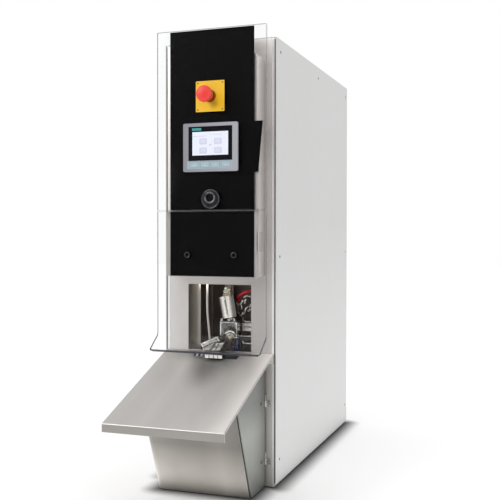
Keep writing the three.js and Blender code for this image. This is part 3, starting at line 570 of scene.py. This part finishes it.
def finish_cad_nodes():
    """The looks and softened edges of the CAD nodes that stay, and the looks of the table's folded lip: a
    brighter copy of the table's steel as painted highlight on its curve, and a darker copy as painted
    reflection on its nose.
    """
    for look, names in CAD_LOOKS.items():
        for name in names:
            node = NODES[name]
            node.data.materials.clear()
            node.data.materials.append(LOOKS[look])
            node.data.polygons.foreach_set("use_smooth", [True] * len(node.data.polygons))
            soften(node, OWN_BEVEL.get(name, CAD_BEVEL))
    table = NODES["work_table"].data
    table.materials.append(LOOKS["stainless_fold_highlight"])
    table.materials.append(LOOKS["stainless_nose_dark_reflection"])
    for polygon in table.polygons:
        if polygon.center.y < at(0, FOLD_START, 0).y and abs(polygon.normal.x) < 0.5:
            lean = -polygon.normal.y
            polygon.material_index = 2 if lean > NOSE_LEAN else 1 if lean > FOLD_LEAN else 0


# ------------------------------------------------------------------ mesh builders

# what a laid-on sheet keeps clear of the face behind it, and how far a facet reaches into its part
SURFACE_GAP = 0.02
FACET_DEPTH = 0.6


def placed(place, normal=UP, up=None):
    """A frame whose Z is the normal; X and Y lie in the face, with Y towards up."""
    normal = normal.normalized()
    lead = up or (UP if abs(normal.z) < 0.9 else TO_REAR)
    across = lead.cross(normal).normalized()
    along = normal.cross(across)
    turned = Matrix((across, along, normal)).transposed().to_4x4()
    return Matrix.Translation(place) @ turned


def rings(bm, profile, matrix, segments=48, look=0):
    """A turned solid from rows of (radius, height), or (half width across flats, height, sides)."""
    loops = []
    for radius, height, *sides in profile:
        if radius == 0:
            loops.append([bm.verts.new(matrix @ Vector((0, 0, height * MM)))])
            continue
        loop = []
        for i in range(segments):
            angle = 2 * math.pi * i / segments
            reach = radius
            if sides:
                wedge = 2 * math.pi / sides[0]
                reach = radius / math.cos((angle % wedge) - wedge / 2)
            loop.append(bm.verts.new(matrix @ Vector((
                reach * MM * math.cos(angle), reach * MM * math.sin(angle), height * MM))))
        loops.append(loop)
    for lower, upper in zip(loops, loops[1:]):
        for i in range(segments):
            j = (i + 1) % segments
            corners = [loop[k % len(loop)] for loop, k in ((lower, i), (lower, j), (upper, j), (upper, i))]
            face = bm.faces.new(list(dict.fromkeys(corners)))
            face.material_index = look


def slab(bm, outline, low, high, matrix, look=0):
    """A plate with this outline in X and Y, from low to high in Z, in millimetres."""
    bottom = [bm.verts.new(matrix @ Vector((x * MM, y * MM, low * MM))) for x, y in outline]
    top = [bm.verts.new(matrix @ Vector((x * MM, y * MM, high * MM))) for x, y in outline]
    faces = [bm.faces.new(bottom[::-1]), bm.faces.new(top)]
    for i in range(len(outline)):
        j = (i + 1) % len(outline)
        faces.append(bm.faces.new((bottom[i], bottom[j], top[j], top[i])))
    for face in faces:
        face.material_index = look


def rectangle(width, height, x=0.0, y=0.0):
    """A rectangle's outline round its middle."""
    return [(x - width / 2, y - height / 2), (x + width / 2, y - height / 2),
            (x + width / 2, y + height / 2), (x - width / 2, y + height / 2)]


def rounded(width, height, radius, x=0.0, y=0.0, steps=5):
    """A rectangle's outline with rounded corners."""
    points = []
    for quarter, (sx, sy) in enumerate([(1, 1), (-1, 1), (-1, -1), (1, -1)]):
        for i in range(steps + 1):
            angle = math.pi / 2 * (quarter + i / steps)
            points.append((x + sx * (width / 2 - radius) + radius * math.cos(angle),
                           y + sy * (height / 2 - radius) + radius * math.sin(angle)))
    return points


def smooth_path(points, steps=8):
    """A Catmull-Rom line through the points."""
    ends = [points[0] * 2 - points[1], *points, points[-1] * 2 - points[-2]]
    path = []
    for a, b, c, d in zip(ends, ends[1:], ends[2:], ends[3:]):
        for i in range(steps):
            t = i / steps
            path.append(((b * 2) + (c - a) * t + (a * 2 - b * 5 + c * 4 - d) * t * t
                         + (b * 3 - a - c * 3 + d) * t * t * t) / 2)
    return [*path, points[-1]]


def tube(bm, path, radius, sides=16):
    """A round tube along a path of places in the row frame, closed at both ends."""
    side = None
    loops = []
    for i, place in enumerate(path):
        ahead = (path[min(i + 1, len(path) - 1)] - path[max(i - 1, 0)]).normalized()
        side = ahead.orthogonal() if side is None else side - ahead * side.dot(ahead)
        side.normalize()
        other = ahead.cross(side)
        angles = [2 * math.pi * k / sides for k in range(sides)]
        loops.append([bm.verts.new(place + (side * math.cos(angle) + other * math.sin(angle)) * radius * MM)
                      for angle in angles])
    bm.faces.new(loops[0][::-1])
    bm.faces.new(loops[-1])
    for lower, upper in zip(loops, loops[1:]):
        for k in range(sides):
            j = (k + 1) % sides
            bm.faces.new((lower[k], lower[j], upper[j], upper[k]))


def holed_sheet(name, xs, zs, holes, front, thickness, look, body="cabinet"):
    """A thin sheet before the front plane, cut by the lines xs and zs and without the cells in holes."""
    bm = bmesh.new()
    grid = [[bm.verts.new(at(x, front - thickness, z)) for x in xs] for z in zs]
    for j in range(len(zs) - 1):
        for i in range(len(xs) - 1):
            if (i, j) not in holes:
                bm.faces.new((grid[j][i], grid[j][i + 1], grid[j + 1][i + 1], grid[j + 1][i]))
    made = bmesh.ops.extrude_face_region(bm, geom=list(bm.faces))
    moved = [v for v in made["geom"] if isinstance(v, bmesh.types.BMVert)]
    bmesh.ops.translate(bm, verts=moved, vec=TO_REAR * (thickness - SURFACE_GAP) * MM)
    make_piece(name, bm, [look], body)


def facet(bm, outline, ridge, front, height, look=0):
    """A low roof over an outline in X and Z, its ridge points standing forward of the front plane."""
    base = [bm.verts.new(at(x, front, z)) for x, z in outline]
    tops = [bm.verts.new(at(x, front - height, z)) for x, z in ridge]
    back = [bm.verts.new(at(x, front + FACET_DEPTH, z)) for x, z in outline]
    for i in range(len(base)):
        j = (i + 1) % len(base)
        corners = [base[i], base[j], tops[j], tops[i]]
        bm.faces.new(list(dict.fromkeys(corners))).material_index = look
        bm.faces.new((back[i], back[j], base[j], base[i])).material_index = look
    bm.faces.new(tops).material_index = look
    bm.faces.new(back[::-1]).material_index = look


def inset(outline, share):
    """The outline drawn in towards its middle."""
    middle_x = sum(x for x, _ in outline) / len(outline)
    middle_z = sum(z for _, z in outline) / len(outline)
    return [(x + (middle_x - x) * share, z + (middle_z - z) * share) for x, z in outline]


def elbow(bm, place, direction, radius, length):
    """A push-in fitting: hexagon, barrel and release ring."""
    rings(bm, [(0, 0), (radius, 0), (radius, 0.6, 6), (radius, length * 0.34, 6),
               (radius * 0.86, length * 0.38), (radius * 0.86, length * 0.82),
               (radius * 0.7, length * 0.86), (radius * 0.7, length),
               (radius * 0.45, length), (radius * 0.45, length * 0.9), (0, length * 0.9)],
          placed(at(*place), Vector(direction)), 36)


def screw_head(bm, spot, radius, height, socket):
    """A low head with a hexagon socket, whose size is half its width across flats."""
    rings(bm, [(0, 0), (radius * 0.92, 0), (radius, height * 0.35), (radius * 0.93, height * 0.8),
               (radius * 0.75, height), (socket * 1.12, height), (socket, height * 0.85, 6),
               (socket, height * 0.25, 6), (0, height * 0.25)], spot, 36)


def screw_set(name, places, normal, size, look, body="cabinet"):
    """One piece of like screws; size is the radius, height and socket of a head."""
    bm = bmesh.new()
    for place in places:
        screw_head(bm, placed(at(*place), normal), *size)
    make_piece(name, bm, [look], body)


def make_piece(name, bm, looks, body="cabinet", bevel=0.0, replaces=()):
    """Turns the mesh into a piece that rides on a body."""
    bmesh.ops.recalc_face_normals(bm, faces=bm.faces)
    for face in bm.faces:
        face.smooth = True
    mesh = bpy.data.meshes.new(name)
    bm.to_mesh(mesh)
    bm.free()
    for look in looks:
        mesh.materials.append(LOOKS[look])
    piece = bpy.data.objects.new(name, mesh)
    SCENE.collection.objects.link(piece)
    soften(piece, bevel)
    if replaces:
        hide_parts(*replaces)
    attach(piece, body)


# ------------------------------------------------------------------ clear guard plates

# below this height lies the bent lip, whose edges look darker
LIP_TOP = 362
# how far a sawn edge shows through the front face
GUARD_BAND = 2.2
FLAT_ANGLE = math.radians(1)


def clear_plate(name, node, body):
    """The clear plate with polished faces and greyer sawn edges."""
    bm = bmesh.new()
    bm.from_mesh(NODES[node].data)
    bmesh.ops.remove_doubles(bm, verts=bm.verts, dist=WELD_DISTANCE)
    bmesh.ops.dissolve_limit(bm, angle_limit=FLAT_ANGLE, verts=bm.verts, edges=bm.edges)
    lip_top = at(0, 0, LIP_TOP).z
    front = []
    for face in bm.faces:
        normal = face.normal
        edge = abs(normal.y) < 0.4 or normal.y * normal.z > 0.1
        low = face.calc_center_median().z < lip_top
        face.material_index = (2 if low else 1) if edge else 0
        if not edge and normal.y < 0:
            front.append(face)
    band = bmesh.ops.inset_region(bm, faces=front, thickness=GUARD_BAND * MM, use_even_offset=True)["faces"]
    for face in band:
        face.material_index = 2 if face.calc_center_median().z < lip_top else 3
    looks = ["clear", "clear_edge", "clear_edge_dark", "clear_edge_faint"]
    make_piece(name, bm, looks, body, replaces=[node])


# ------------------------------------------------------------------ emergency stop

# the middle of the stop button's plate on the column's front face
STOP = (-0.9, -59.8, 933.8)
STOP_PLATE = 73.5
STOP_PLATE_THICKNESS = 1
STOP_SCREW_EDGE = 5


def emergency_stop():
    """The domed mushroom cap and the four screws of the yellow plate."""
    bm = bmesh.new()
    face = placed(at(*STOP), TO_FRONT)
    rings(bm, [(0, 16.4), (14.2, 16.4), (14.7, 17.2), (14.9, 22.0), (15.4, 25.2), (16.5, 28.4),
               (17.8, 31.0), (18.8, 33.4), (19.3, 36.0), (19.3, 39.0), (19.0, 41.0), (18.3, 42.6),
               (17.2, 43.6), (15.4, 44.5), (12.6, 45.2), (8, 45.8), (4, 46.0), (0, 46.1)], face, 72)
    make_piece("estop_mushroom", bm, ["red_cap"], "estop_cap", replaces=["estop_cap"])

    bm = bmesh.new()
    half = STOP_PLATE / 2 - STOP_SCREW_EDGE
    for sx in (-1, 1):
        for sz in (-1, 1):
            place = at(STOP[0] + sx * half, STOP[1] - STOP_PLATE_THICKNESS, STOP[2] + sz * half)
            spot = placed(place, TO_FRONT)
            rings(bm, [(0, 0), (1.9, 0), (1.9, 0.4), (1.5, 0.7), (0.9, 0.8, 6), (0.9, 0.35, 6), (0, 0.35)],
                  spot, 24)
    make_piece("estop_plate_screws", bm, ["jaw_shade_and_dark_screws"])


# ------------------------------------------------------------------ touch panel

PICTURE_WIDTH = 92
PICTURE_HEIGHT = 56
# the height of the dark glass above the picture
PICTURE_DROP = 12.6
# the membrane's clearance round a key, and its reach to both sides of the screen's middle and past the keys
KEY_GAP = 0.4
MEMBRANE_SIDES = (59.5, 56)
MEMBRANE_ENDS = (3.2, 2.2)
MEMBRANE_THICKNESS = 0.15


def touch_panel():
    """The display's picture, icons and bar, and the function keys' membrane strip and marks."""
    low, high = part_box("hmi_screen")
    front = (low.y - FRONT_FACE_Y) / MM
    x = (low.x + high.x) / 2 / MM
    z = (high.z - PANEL_BOTTOM_Z) / MM - PICTURE_DROP - PICTURE_HEIGHT / 2
    face = placed(at(x, front, z), TO_FRONT)

    bm = bmesh.new()
    slab(bm, rectangle(PICTURE_WIDTH, PICTURE_HEIGHT), SURFACE_GAP, 0.12, face)
    make_piece("display_picture", bm, ["display"])

    bm = bmesh.new()
    for dx in (-18, 20):
        for dz in (5, -16.7):
            slab(bm, rounded(19, 14, 2, dx, dz), 0.13, 0.2, face, 0)
            slab(bm, rounded(14, 9.5, 1, dx, dz + 0.6), 0.21, 0.25, face, 1)
    slab(bm, [(-4.5, -5), (4.5, -5), (0, -1)], 0.13, 0.2, face, 0)
    slab(bm, rectangle(30, 0.9, 14, 20.5), 0.13, 0.18, face, 2)
    slab(bm, rectangle(34, 1.6, -28, 17.8), 0.13, 0.18, face, 2)
    make_piece("display_icons", bm, ["display_icon", "display_inner", "display_line"])

    bm = bmesh.new()
    slab(bm, rectangle(24, 6, -PICTURE_WIDTH / 2 + 11, PICTURE_HEIGHT / 2 + 6.2), SURFACE_GAP, 0.1, face)
    make_piece("display_bar", bm, ["teal_bar"])

    # the membrane strip, with a hole for each key
    bezel_front = (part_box("hmi_bezel")[0].y - FRONT_FACE_Y) / MM
    boxes = [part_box(key) for key in KEYS]
    key_bottom, key_top = ((corner.z - PANEL_BOTTOM_Z) / MM for corner in boxes[0])
    xs = [x - MEMBRANE_SIDES[0]]
    for low, high in boxes:
        xs += [low.x / MM - KEY_GAP, high.x / MM + KEY_GAP]
    xs.append(x + MEMBRANE_SIDES[1])
    zs = [key_bottom - MEMBRANE_ENDS[0], key_bottom - KEY_GAP, key_top + KEY_GAP, key_top + MEMBRANE_ENDS[1]]
    holes = {(2 * i + 1, 1) for i in range(len(KEYS))}
    holed_sheet("key_membrane", xs, zs, holes, bezel_front, MEMBRANE_THICKNESS, "key_strip")

    for i, (key, (low, high)) in enumerate(zip(KEYS, boxes), 1):
        middle = at((low.x + high.x) / 2 / MM, (low.y - FRONT_FACE_Y) / MM, (key_bottom + key_top) / 2)
        spot = placed(middle, TO_FRONT)
        bm = bmesh.new()
        slab(bm, rounded(3.2, 1.2, 0.5, 0, 3.6), 0.01, 0.08, spot)
        slab(bm, rounded(9, 1.6, 0.6, 0, -1.6), 0.01, 0.08, spot)
        make_piece(f"function_mark_{i}", bm, ["light_plastic"], key)


# ------------------------------------------------------------------ filling bay

ACTUATOR_FOOT = (27.9, 6, 395.4)
ACTUATOR_LEAN = math.radians(-9.8)
# the ribs of the knurled collar on the actuator
COLLAR_START = 55.2
COLLAR_PITCH = 2.0
COLLAR_RIBS = 5


def actuator():
    """The leaning can with rolled rims, its collar and fitting, and the bolts of the flange under it."""
    axis = Vector((math.sin(ACTUATOR_LEAN), 0, math.cos(ACTUATOR_LEAN)))
    frame_up = placed(at(*ACTUATOR_FOOT), axis)
    bm = bmesh.new()
    rings(bm, [(0, 0.4), (14.6, 0.4), (14.9, 0.8), (14.9, 4.4), (22.6, 5.0), (23.5, 5.8), (23.6, 9.4),
               (23.2, 9.9), (22.8, 10.2), (22.8, 11.0), (23.2, 11.4), (23.3, 51.0), (22.9, 51.5),
               (22.9, 52.3), (23.3, 52.8), (23.6, 53.4), (23.6, 57.6), (23.2, 58.6), (22.2, 59.1),
               (20.4, 59.1), (19.8, 58.4), (19.6, 54.1), (0, 54.1)], frame_up, 72)
    make_piece("actuator_can", bm, ["actuator_steel"], replaces=["valve_actuator"])

    bm = bmesh.new()
    collar = []
    for rib in range(COLLAR_RIBS):
        low = COLLAR_START + rib * COLLAR_PITCH
        collar += [(10.9, low), (11.4, low + 0.5), (11.4, low + 1.2), (10.9, low + 1.7)]
    rings(bm, [(0, 54.5), (10.8, 54.5), *collar, (9.6, 65.8), (0, 65.8)], frame_up, 48, 0)
    rings(bm, [(0, 65.9), (7.6, 65.9), (8.0, 67.0, 6), (8.0, 73.2, 6), (7.0, 74.2), (5.4, 74.6), (5.4, 79.0),
               (4.6, 80.2), (0, 80.3)], frame_up, 48, 1)
    make_piece("actuator_knob", bm, ["knurled", "nickel_brass"], replaces=["actuator_fitting"])

    bm = bmesh.new()
    for x in (9.2, 28.2, 41.2):
        spot = placed(at(x, -9.6, 392.5), UP)
        rings(bm, [(0, 0), (3.6, 0), (3.6, 0.9), (2.9, 1.0, 6), (2.9, 5.2, 6), (2.4, 6.0), (0, 6.1)],
              spot, 36)
    make_piece("flange_bolts", bm, ["bright_steel"])


UNION_FOOT = (31, -14, 366)
UNION_AXIS = Vector((0.36, -0.76, -0.54))


def valve_details():
    """The rings of the tilted union and nozzle, and the bright frame and screws on the valve's face."""
    spot = placed(at(*UNION_FOOT), UNION_AXIS)
    bm = bmesh.new()
    rings(bm, [(13.2, 10.1), (13.2, 10.6), (11.9, 11.0), (11.6, 12.2), (11.0, 12.6), (10.6, 12.6),
               (10.6, 10.1)], spot)
    make_piece("union_ring", bm, ["bright_steel"])
    bm = bmesh.new()
    rings(bm, [(8.3, 15.6), (9.6, 15.6), (9.9, 16.2), (9.9, 17.6), (9.4, 18.2), (8.3, 18.2)], spot)
    make_piece("nozzle_ring", bm, ["bright_steel"])
    holed_sheet("valve_frame", [6.7, 9.8, 47.5, 50.6], [352.3, 355.4, 388.9, 392.0], {(1, 1)}, -14.05, 0.35,
                "bright_steel")
    places = [(x, -12.9, z) for x, z in ((11.8, 357.8), (11.8, 386.6), (45.5, 386.6))]
    screw_set("valve_screws", places, TO_FRONT, (2.0, 1.0, 1.0), "satin_steel")


# the front face of the clamp's jaws, and how far their facets stand out of it and draw in
JAW_FRONT = -48.7
FACET_HEIGHT = 1.6
FACET_INSET = 0.22


def jaw_facets():
    """Two slanting facets on the front of each jaw, the first in bright steel as a painted lit face and the
    second in darker satin steel as a painted shaded face.
    """
    left_upper = [(-31.0, 339.4), (-25.6, 330.2), (6.6, 345.2), (19.0, 348.6), (11.6, 357.6)]
    left_lower = [(-25.2, 329.0), (-23.2, 323.0), (-7.4, 323.0), (4.2, 341.6), (1.8, 341.8)]
    right_inner = [(-3.4, 323.2), (6.2, 323.2), (17.4, 343.0), (10.0, 342.6)]
    right_outer = [(7.6, 323.2), (18.4, 324.0), (30.6, 344.4), (18.8, 343.2)]
    for name, body, shapes in (("left", "clamp_jaw_left", [(left_upper, 0), (left_lower, 1)]),
                               ("right", "clamp_jaw_right", [(right_inner, 0), (right_outer, 1)])):
        bm = bmesh.new()
        for shape, look in shapes:
            facet(bm, shape, inset(shape, FACET_INSET), JAW_FRONT, FACET_HEIGHT, look)
        make_piece(f"clamp_face_{name}", bm, ["bright_steel", "satin_steel"], body, 0.15)


def clamp_base_details():
    """The pads in a row under the jaws, the stop beside them and the striped guide."""
    bm = bmesh.new()
    for x in (-14, -2.5, 9, 20.5):
        slab(bm, rectangle(9.6, 8.2, x, 0), 0, 0.9, placed(at(0, -49.1, 309.9), TO_FRONT))
    make_piece("clamp_pads", bm, ["bright_steel"], bevel=0.3)

    bm = bmesh.new()
    slab(bm, rounded(31, 9.6, 1.2, 42.5, 0), 0, 14, placed(at(0, -24, 308.6), TO_FRONT))
    make_piece("clamp_stop", bm, ["black_plastic"], bevel=0.5)

    bm = bmesh.new()
    for i, x in enumerate((-48.5, -42.6, -36.8, -31.2)):
        lean = [(x - 3.2, -3.4), (x + 0.2, -3.4), (x + 3.4, 3.4), (x, 3.4)]
        slab(bm, lean, 0, 4, placed(at(0, -38, 311.4), TO_FRONT), i % 2)
    make_piece("guide_strip", bm, ["black_plastic", "light_plastic"], bevel=0.2)


def pipework():
    """The push-in fittings beside the actuator, and the steel pipes between them."""
    bm = bmesh.new()
    for place, direction, radius, length in (
            ((46, 20, 431), (0.55, -0.3, 0.75), 4.2, 14), ((58, 20, 434), (0.3, -0.4, 0.85), 3.8, 13),
            ((70, 22, 427), (0.7, -0.4, 0.55), 4.2, 13), ((46, 20, 404), (0.75, -0.3, 0.55), 4.6, 14),
            ((58, 20, 412), (0.35, -0.4, 0.8), 3.8, 13), ((66, 22, 415), (0.75, -0.4, 0.5), 4.0, 12),
            ((49, 24, 419), (0.1, -0.5, 0.9), 3.2, 12)):
        elbow(bm, place, direction, radius, length)
    make_piece("push_fittings", bm, ["bright_steel"])

    bm = bmesh.new()
    for route, radius in (
            ([(53, 26, 447), (60, 30, 452), (72, 34, 448), (82, 40, 430), (86, 46, 400)], 2.4),
            ([(57, 24, 416), (66, 28, 428), (78, 34, 436), (90, 50, 438)], 2.2),
            ([(49, 30, 400), (50, 34, 390), (60, 38, 388), (74, 40, 386.5)], 2.4),
            ([(72, 26, 421), (80, 30, 414), (82, 36, 400), (80, 40, 387)], 2.4)):
        tube(bm, smooth_path([at(*p) for p in route]), radius)
    make_piece("steel_pipes", bm, ["satin_steel"])


# the front and the middle of the manifold's fins
FIN_FRONT = 15.9
FIN_MIDDLE = 69.6


def manifold_details():
    """The ribs on the manifold's front, and the hook under it."""
    bm = bmesh.new()
    for z in (371.4, 382.6):
        slab(bm, rounded(30, 3.2, 1.4), 0, 2.4, placed(at(FIN_MIDDLE, FIN_FRONT, z), TO_FRONT), 0)
    slab(bm, rectangle(28, 2.6), 0, 1.2, placed(at(FIN_MIDDLE, FIN_FRONT, 377), TO_FRONT), 1)
    make_piece("manifold_ribs", bm, ["bright_steel", "dark_steel"], bevel=0.3)

    bm = bmesh.new()
    curve = [(61, 16, 336.5), (57, 16, 336.9), (55, 16, 339.6), (55.4, 16, 343.2)]
    tube(bm, smooth_path([at(*p) for p in curve]), 2.2)
    make_piece("drip_hook", bm, ["bright_steel"])


# upright strips at the back of the bay, painted dark bands standing in for reflections there: left and right
# side, depth in the bay, look
BAY_BANDS = [(-30, -13, 118, 0), (-8, -2, 108, 1), (50, 63, 112, 0), (70, 76, 96, 1), (-57, -52, 90, 1)]
BAND_HEIGHT = 300
BAND_DEPTH = 6


def bay_walls():
    """Dark upright strips at the back of the bay, painted bands standing in for reflections there, and a
    highlight strip painted on the edge of its side plate.
    """
    bm = bmesh.new()
    for left, right, y, look in BAY_BANDS:
        face = placed(at((left + right) / 2, y, 452), TO_FRONT)
        slab(bm, rectangle(right - left, BAND_HEIGHT), 0, BAND_DEPTH, face, look)
    make_piece("bay_reflection_bands", bm, ["bay_brown", "dark_steel"], bevel=0.6)

    bm = bmesh.new()
    slab(bm, rectangle(8.6, 256), 0, 0.5, placed(at(-67.1, 27.9, 431), TO_FRONT))
    make_piece("side_plate_highlight", bm, ["side_edge_highlight"], bevel=0.15)


# ------------------------------------------------------------------ screws, rear and ports

# heads as (radius, height, socket)
BOLT = (4.6, 2.6, 2.0)
SIDE_SCREW = (3.6, 1.1, 1.5)
REAR_SCREW = (3.4, 1.7, 1.5)
TOP_SCREW = (3.4, 1.5, 1.5)
LEAF_SCREW = (1.7, 0.8, 0.8)
HINGE_SCREW = (1.9, 0.8, 0.9)
INLET_SCREW = (2.0, 0.9, 1.0)
# places of the side panels' screws in Y and Z, and the depth of the recesses that they sit in
PANEL_SCREWS = [(30, 55), (730, 55), (30, 550), (730, 550), (35, 1047), (390, 1047), (730, 1047)]
RECESS = 1.2
# the rear and top panels' screws: the outer columns, their places, and the inner columns at both ends
REAR_OUTER_X = (-127, 127)
REAR_INNER_X = (-45, 45)
REAR_ENDS_Z = (22, 1058)
REAR_OUTER_Z = (22, 156, 184, 400, 620, 840, 1058)
TOP_X = (-128, 128)
TOP_Y = (24, 375, 727)


def panel_screws():
    """The screws in the recesses of the side panels."""
    for side, x, normal in (("right", SIDE_X - RECESS, TO_RIGHT), ("left", RECESS - SIDE_X, TO_LEFT)):
        places = [(x, y, z) for y, z in PANEL_SCREWS]
        screw_set(f"side_screws_{side}", places, normal, SIDE_SCREW, "screw_steel")


def body_screws():
    """The bolts and screws of the service door, of both doors' hinges, and of the rear and top panels."""
    places = [(120, -32, z) for z in (61, 200)]
    screw_set("service_door_bolts", places, TO_RIGHT, BOLT, "jaw_shade_and_dark_screws", "service_door")
    places = [(128.6, -1.9, z + dz) for z in (48, 188) for dz in (4.2, 10.8)]
    screw_set("service_hinge_screws", places, TO_FRONT, LEAF_SCREW, "satin_steel")
    places = [(119.8, -32, z) for z in (570, 603)]
    screw_set("door_hinge_screws", places, TO_RIGHT, HINGE_SCREW, "satin_steel")

    places = [(x, REAR_Y, z) for x in REAR_OUTER_X for z in REAR_OUTER_Z]
    places += [(x, REAR_Y, z) for x in REAR_INNER_X for z in REAR_ENDS_Z]
    screw_set("rear_screws", places, TO_REAR, REAR_SCREW, "satin_steel")
    places = [(x, y, TOP_Z) for x in TOP_X for y in TOP_Y]
    screw_set("top_screws", places, UP, TOP_SCREW, "satin_steel")


INLET_X = 91.5


def mains_inlet():
    """The inlet's three pins and two screws, and the washer of the air inlet."""
    face_y = (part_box("power_inlet")[1].y - FRONT_FACE_Y) / MM
    bm = bmesh.new()
    for x, z in ((INLET_X, 115.5), (87.2, 110), (87.2, 104.6)):
        slab(bm, rectangle(4.0, 2.0), -13.9, -5.5, placed(at(x, face_y, z), TO_REAR))
    make_piece("inlet_pins", bm, ["brass"], bevel=0.25)

    places = [(INLET_X, face_y, z) for z in (95.2, 124.8)]
    screw_set("inlet_screws", places, TO_REAR, INLET_SCREW, "screw_steel")

    bm = bmesh.new()
    rings(bm, [(14.6, 0.02), (16.0, 0.02), (16.0, 0.8), (15.4, 1.1), (13.6, 1.1), (13.3, 0.8), (13.3, 0.02)],
          placed(at(-80, REAR_Y, 110), TO_REAR))
    make_piece("air_inlet_washer", bm, ["bright_steel"])


PORT_X = 0.8


def port_details():
    """The rims that catch the light on the round port and round the guard door's two screws."""
    rim = [(20.6, 0.02), (22.6, 0.02), (22.4, 0.4), (21.6, 0.62), (20.8, 0.4)]
    lip = [(9.7, 0.02), (10.8, 0.02), (11.6, 0.5), (12.6, 0.7), (13.8, 0.4), (14.0, 0.02)]
    for name, y, z, profile in (("port_rim", -63.3, 688.7, rim), ("port_lip", -67.8, 691.7, lip)):
        bm = bmesh.new()
        rings(bm, profile, placed(at(PORT_X, y, z), TO_FRONT), 64)
        make_piece(name, bm, ["port_edge"])

    for side, x in (("left", -60), ("right", 60)):
        bm = bmesh.new()
        rings(bm, [(5.4, 0.02), (5.9, 0.4), (6.5, 0.3), (6.9, -0.5), (6.4, -0.6), (5.4, -0.4)],
              placed(at(x, -63.2, 554.8), TO_FRONT))
        make_piece(f"knob_rim_{side}", bm, ["port_edge"], "guard_door")


# the groove's middle on either side, the seal's section in X and Y, its foot and its length
GROOVE_X = 142.25
SEAL_WIDTH = 2.5
SEAL_DEPTH = 2.6
SEAL_INSET = 2.5
SEAL_FOOT = 4
SEAL_LENGTH = 1068


def groove_seals():
    """The dark seals down the groove between each side panel and the cabinet's front and rear flanges."""
    for side, x in (("left", -GROOVE_X), ("right", GROOVE_X)):
        bm = bmesh.new()
        for y in (SEAL_INSET, REAR_Y - SEAL_INSET):
            foot = placed(at(0, y, SEAL_FOOT), UP, TO_REAR)
            slab(bm, rectangle(SEAL_WIDTH, SEAL_DEPTH, x, 0), 0, SEAL_LENGTH, foot)
        make_piece(f"groove_seal_{side}", bm, ["rubber"], bevel=0.2)


make_camera()
make_studio()
finish_cad_nodes()
clear_plate("guard_upper", "upper_guard_plate", "cabinet")
clear_plate("guard_lower", "lower_guard_plate", "guard_door")
emergency_stop()
touch_panel()
panel_screws()
actuator()
valve_details()
jaw_facets()
clamp_base_details()
pipework()
manifold_details()
bay_walls()
body_screws()
mains_inlet()
port_details()
groove_seals()
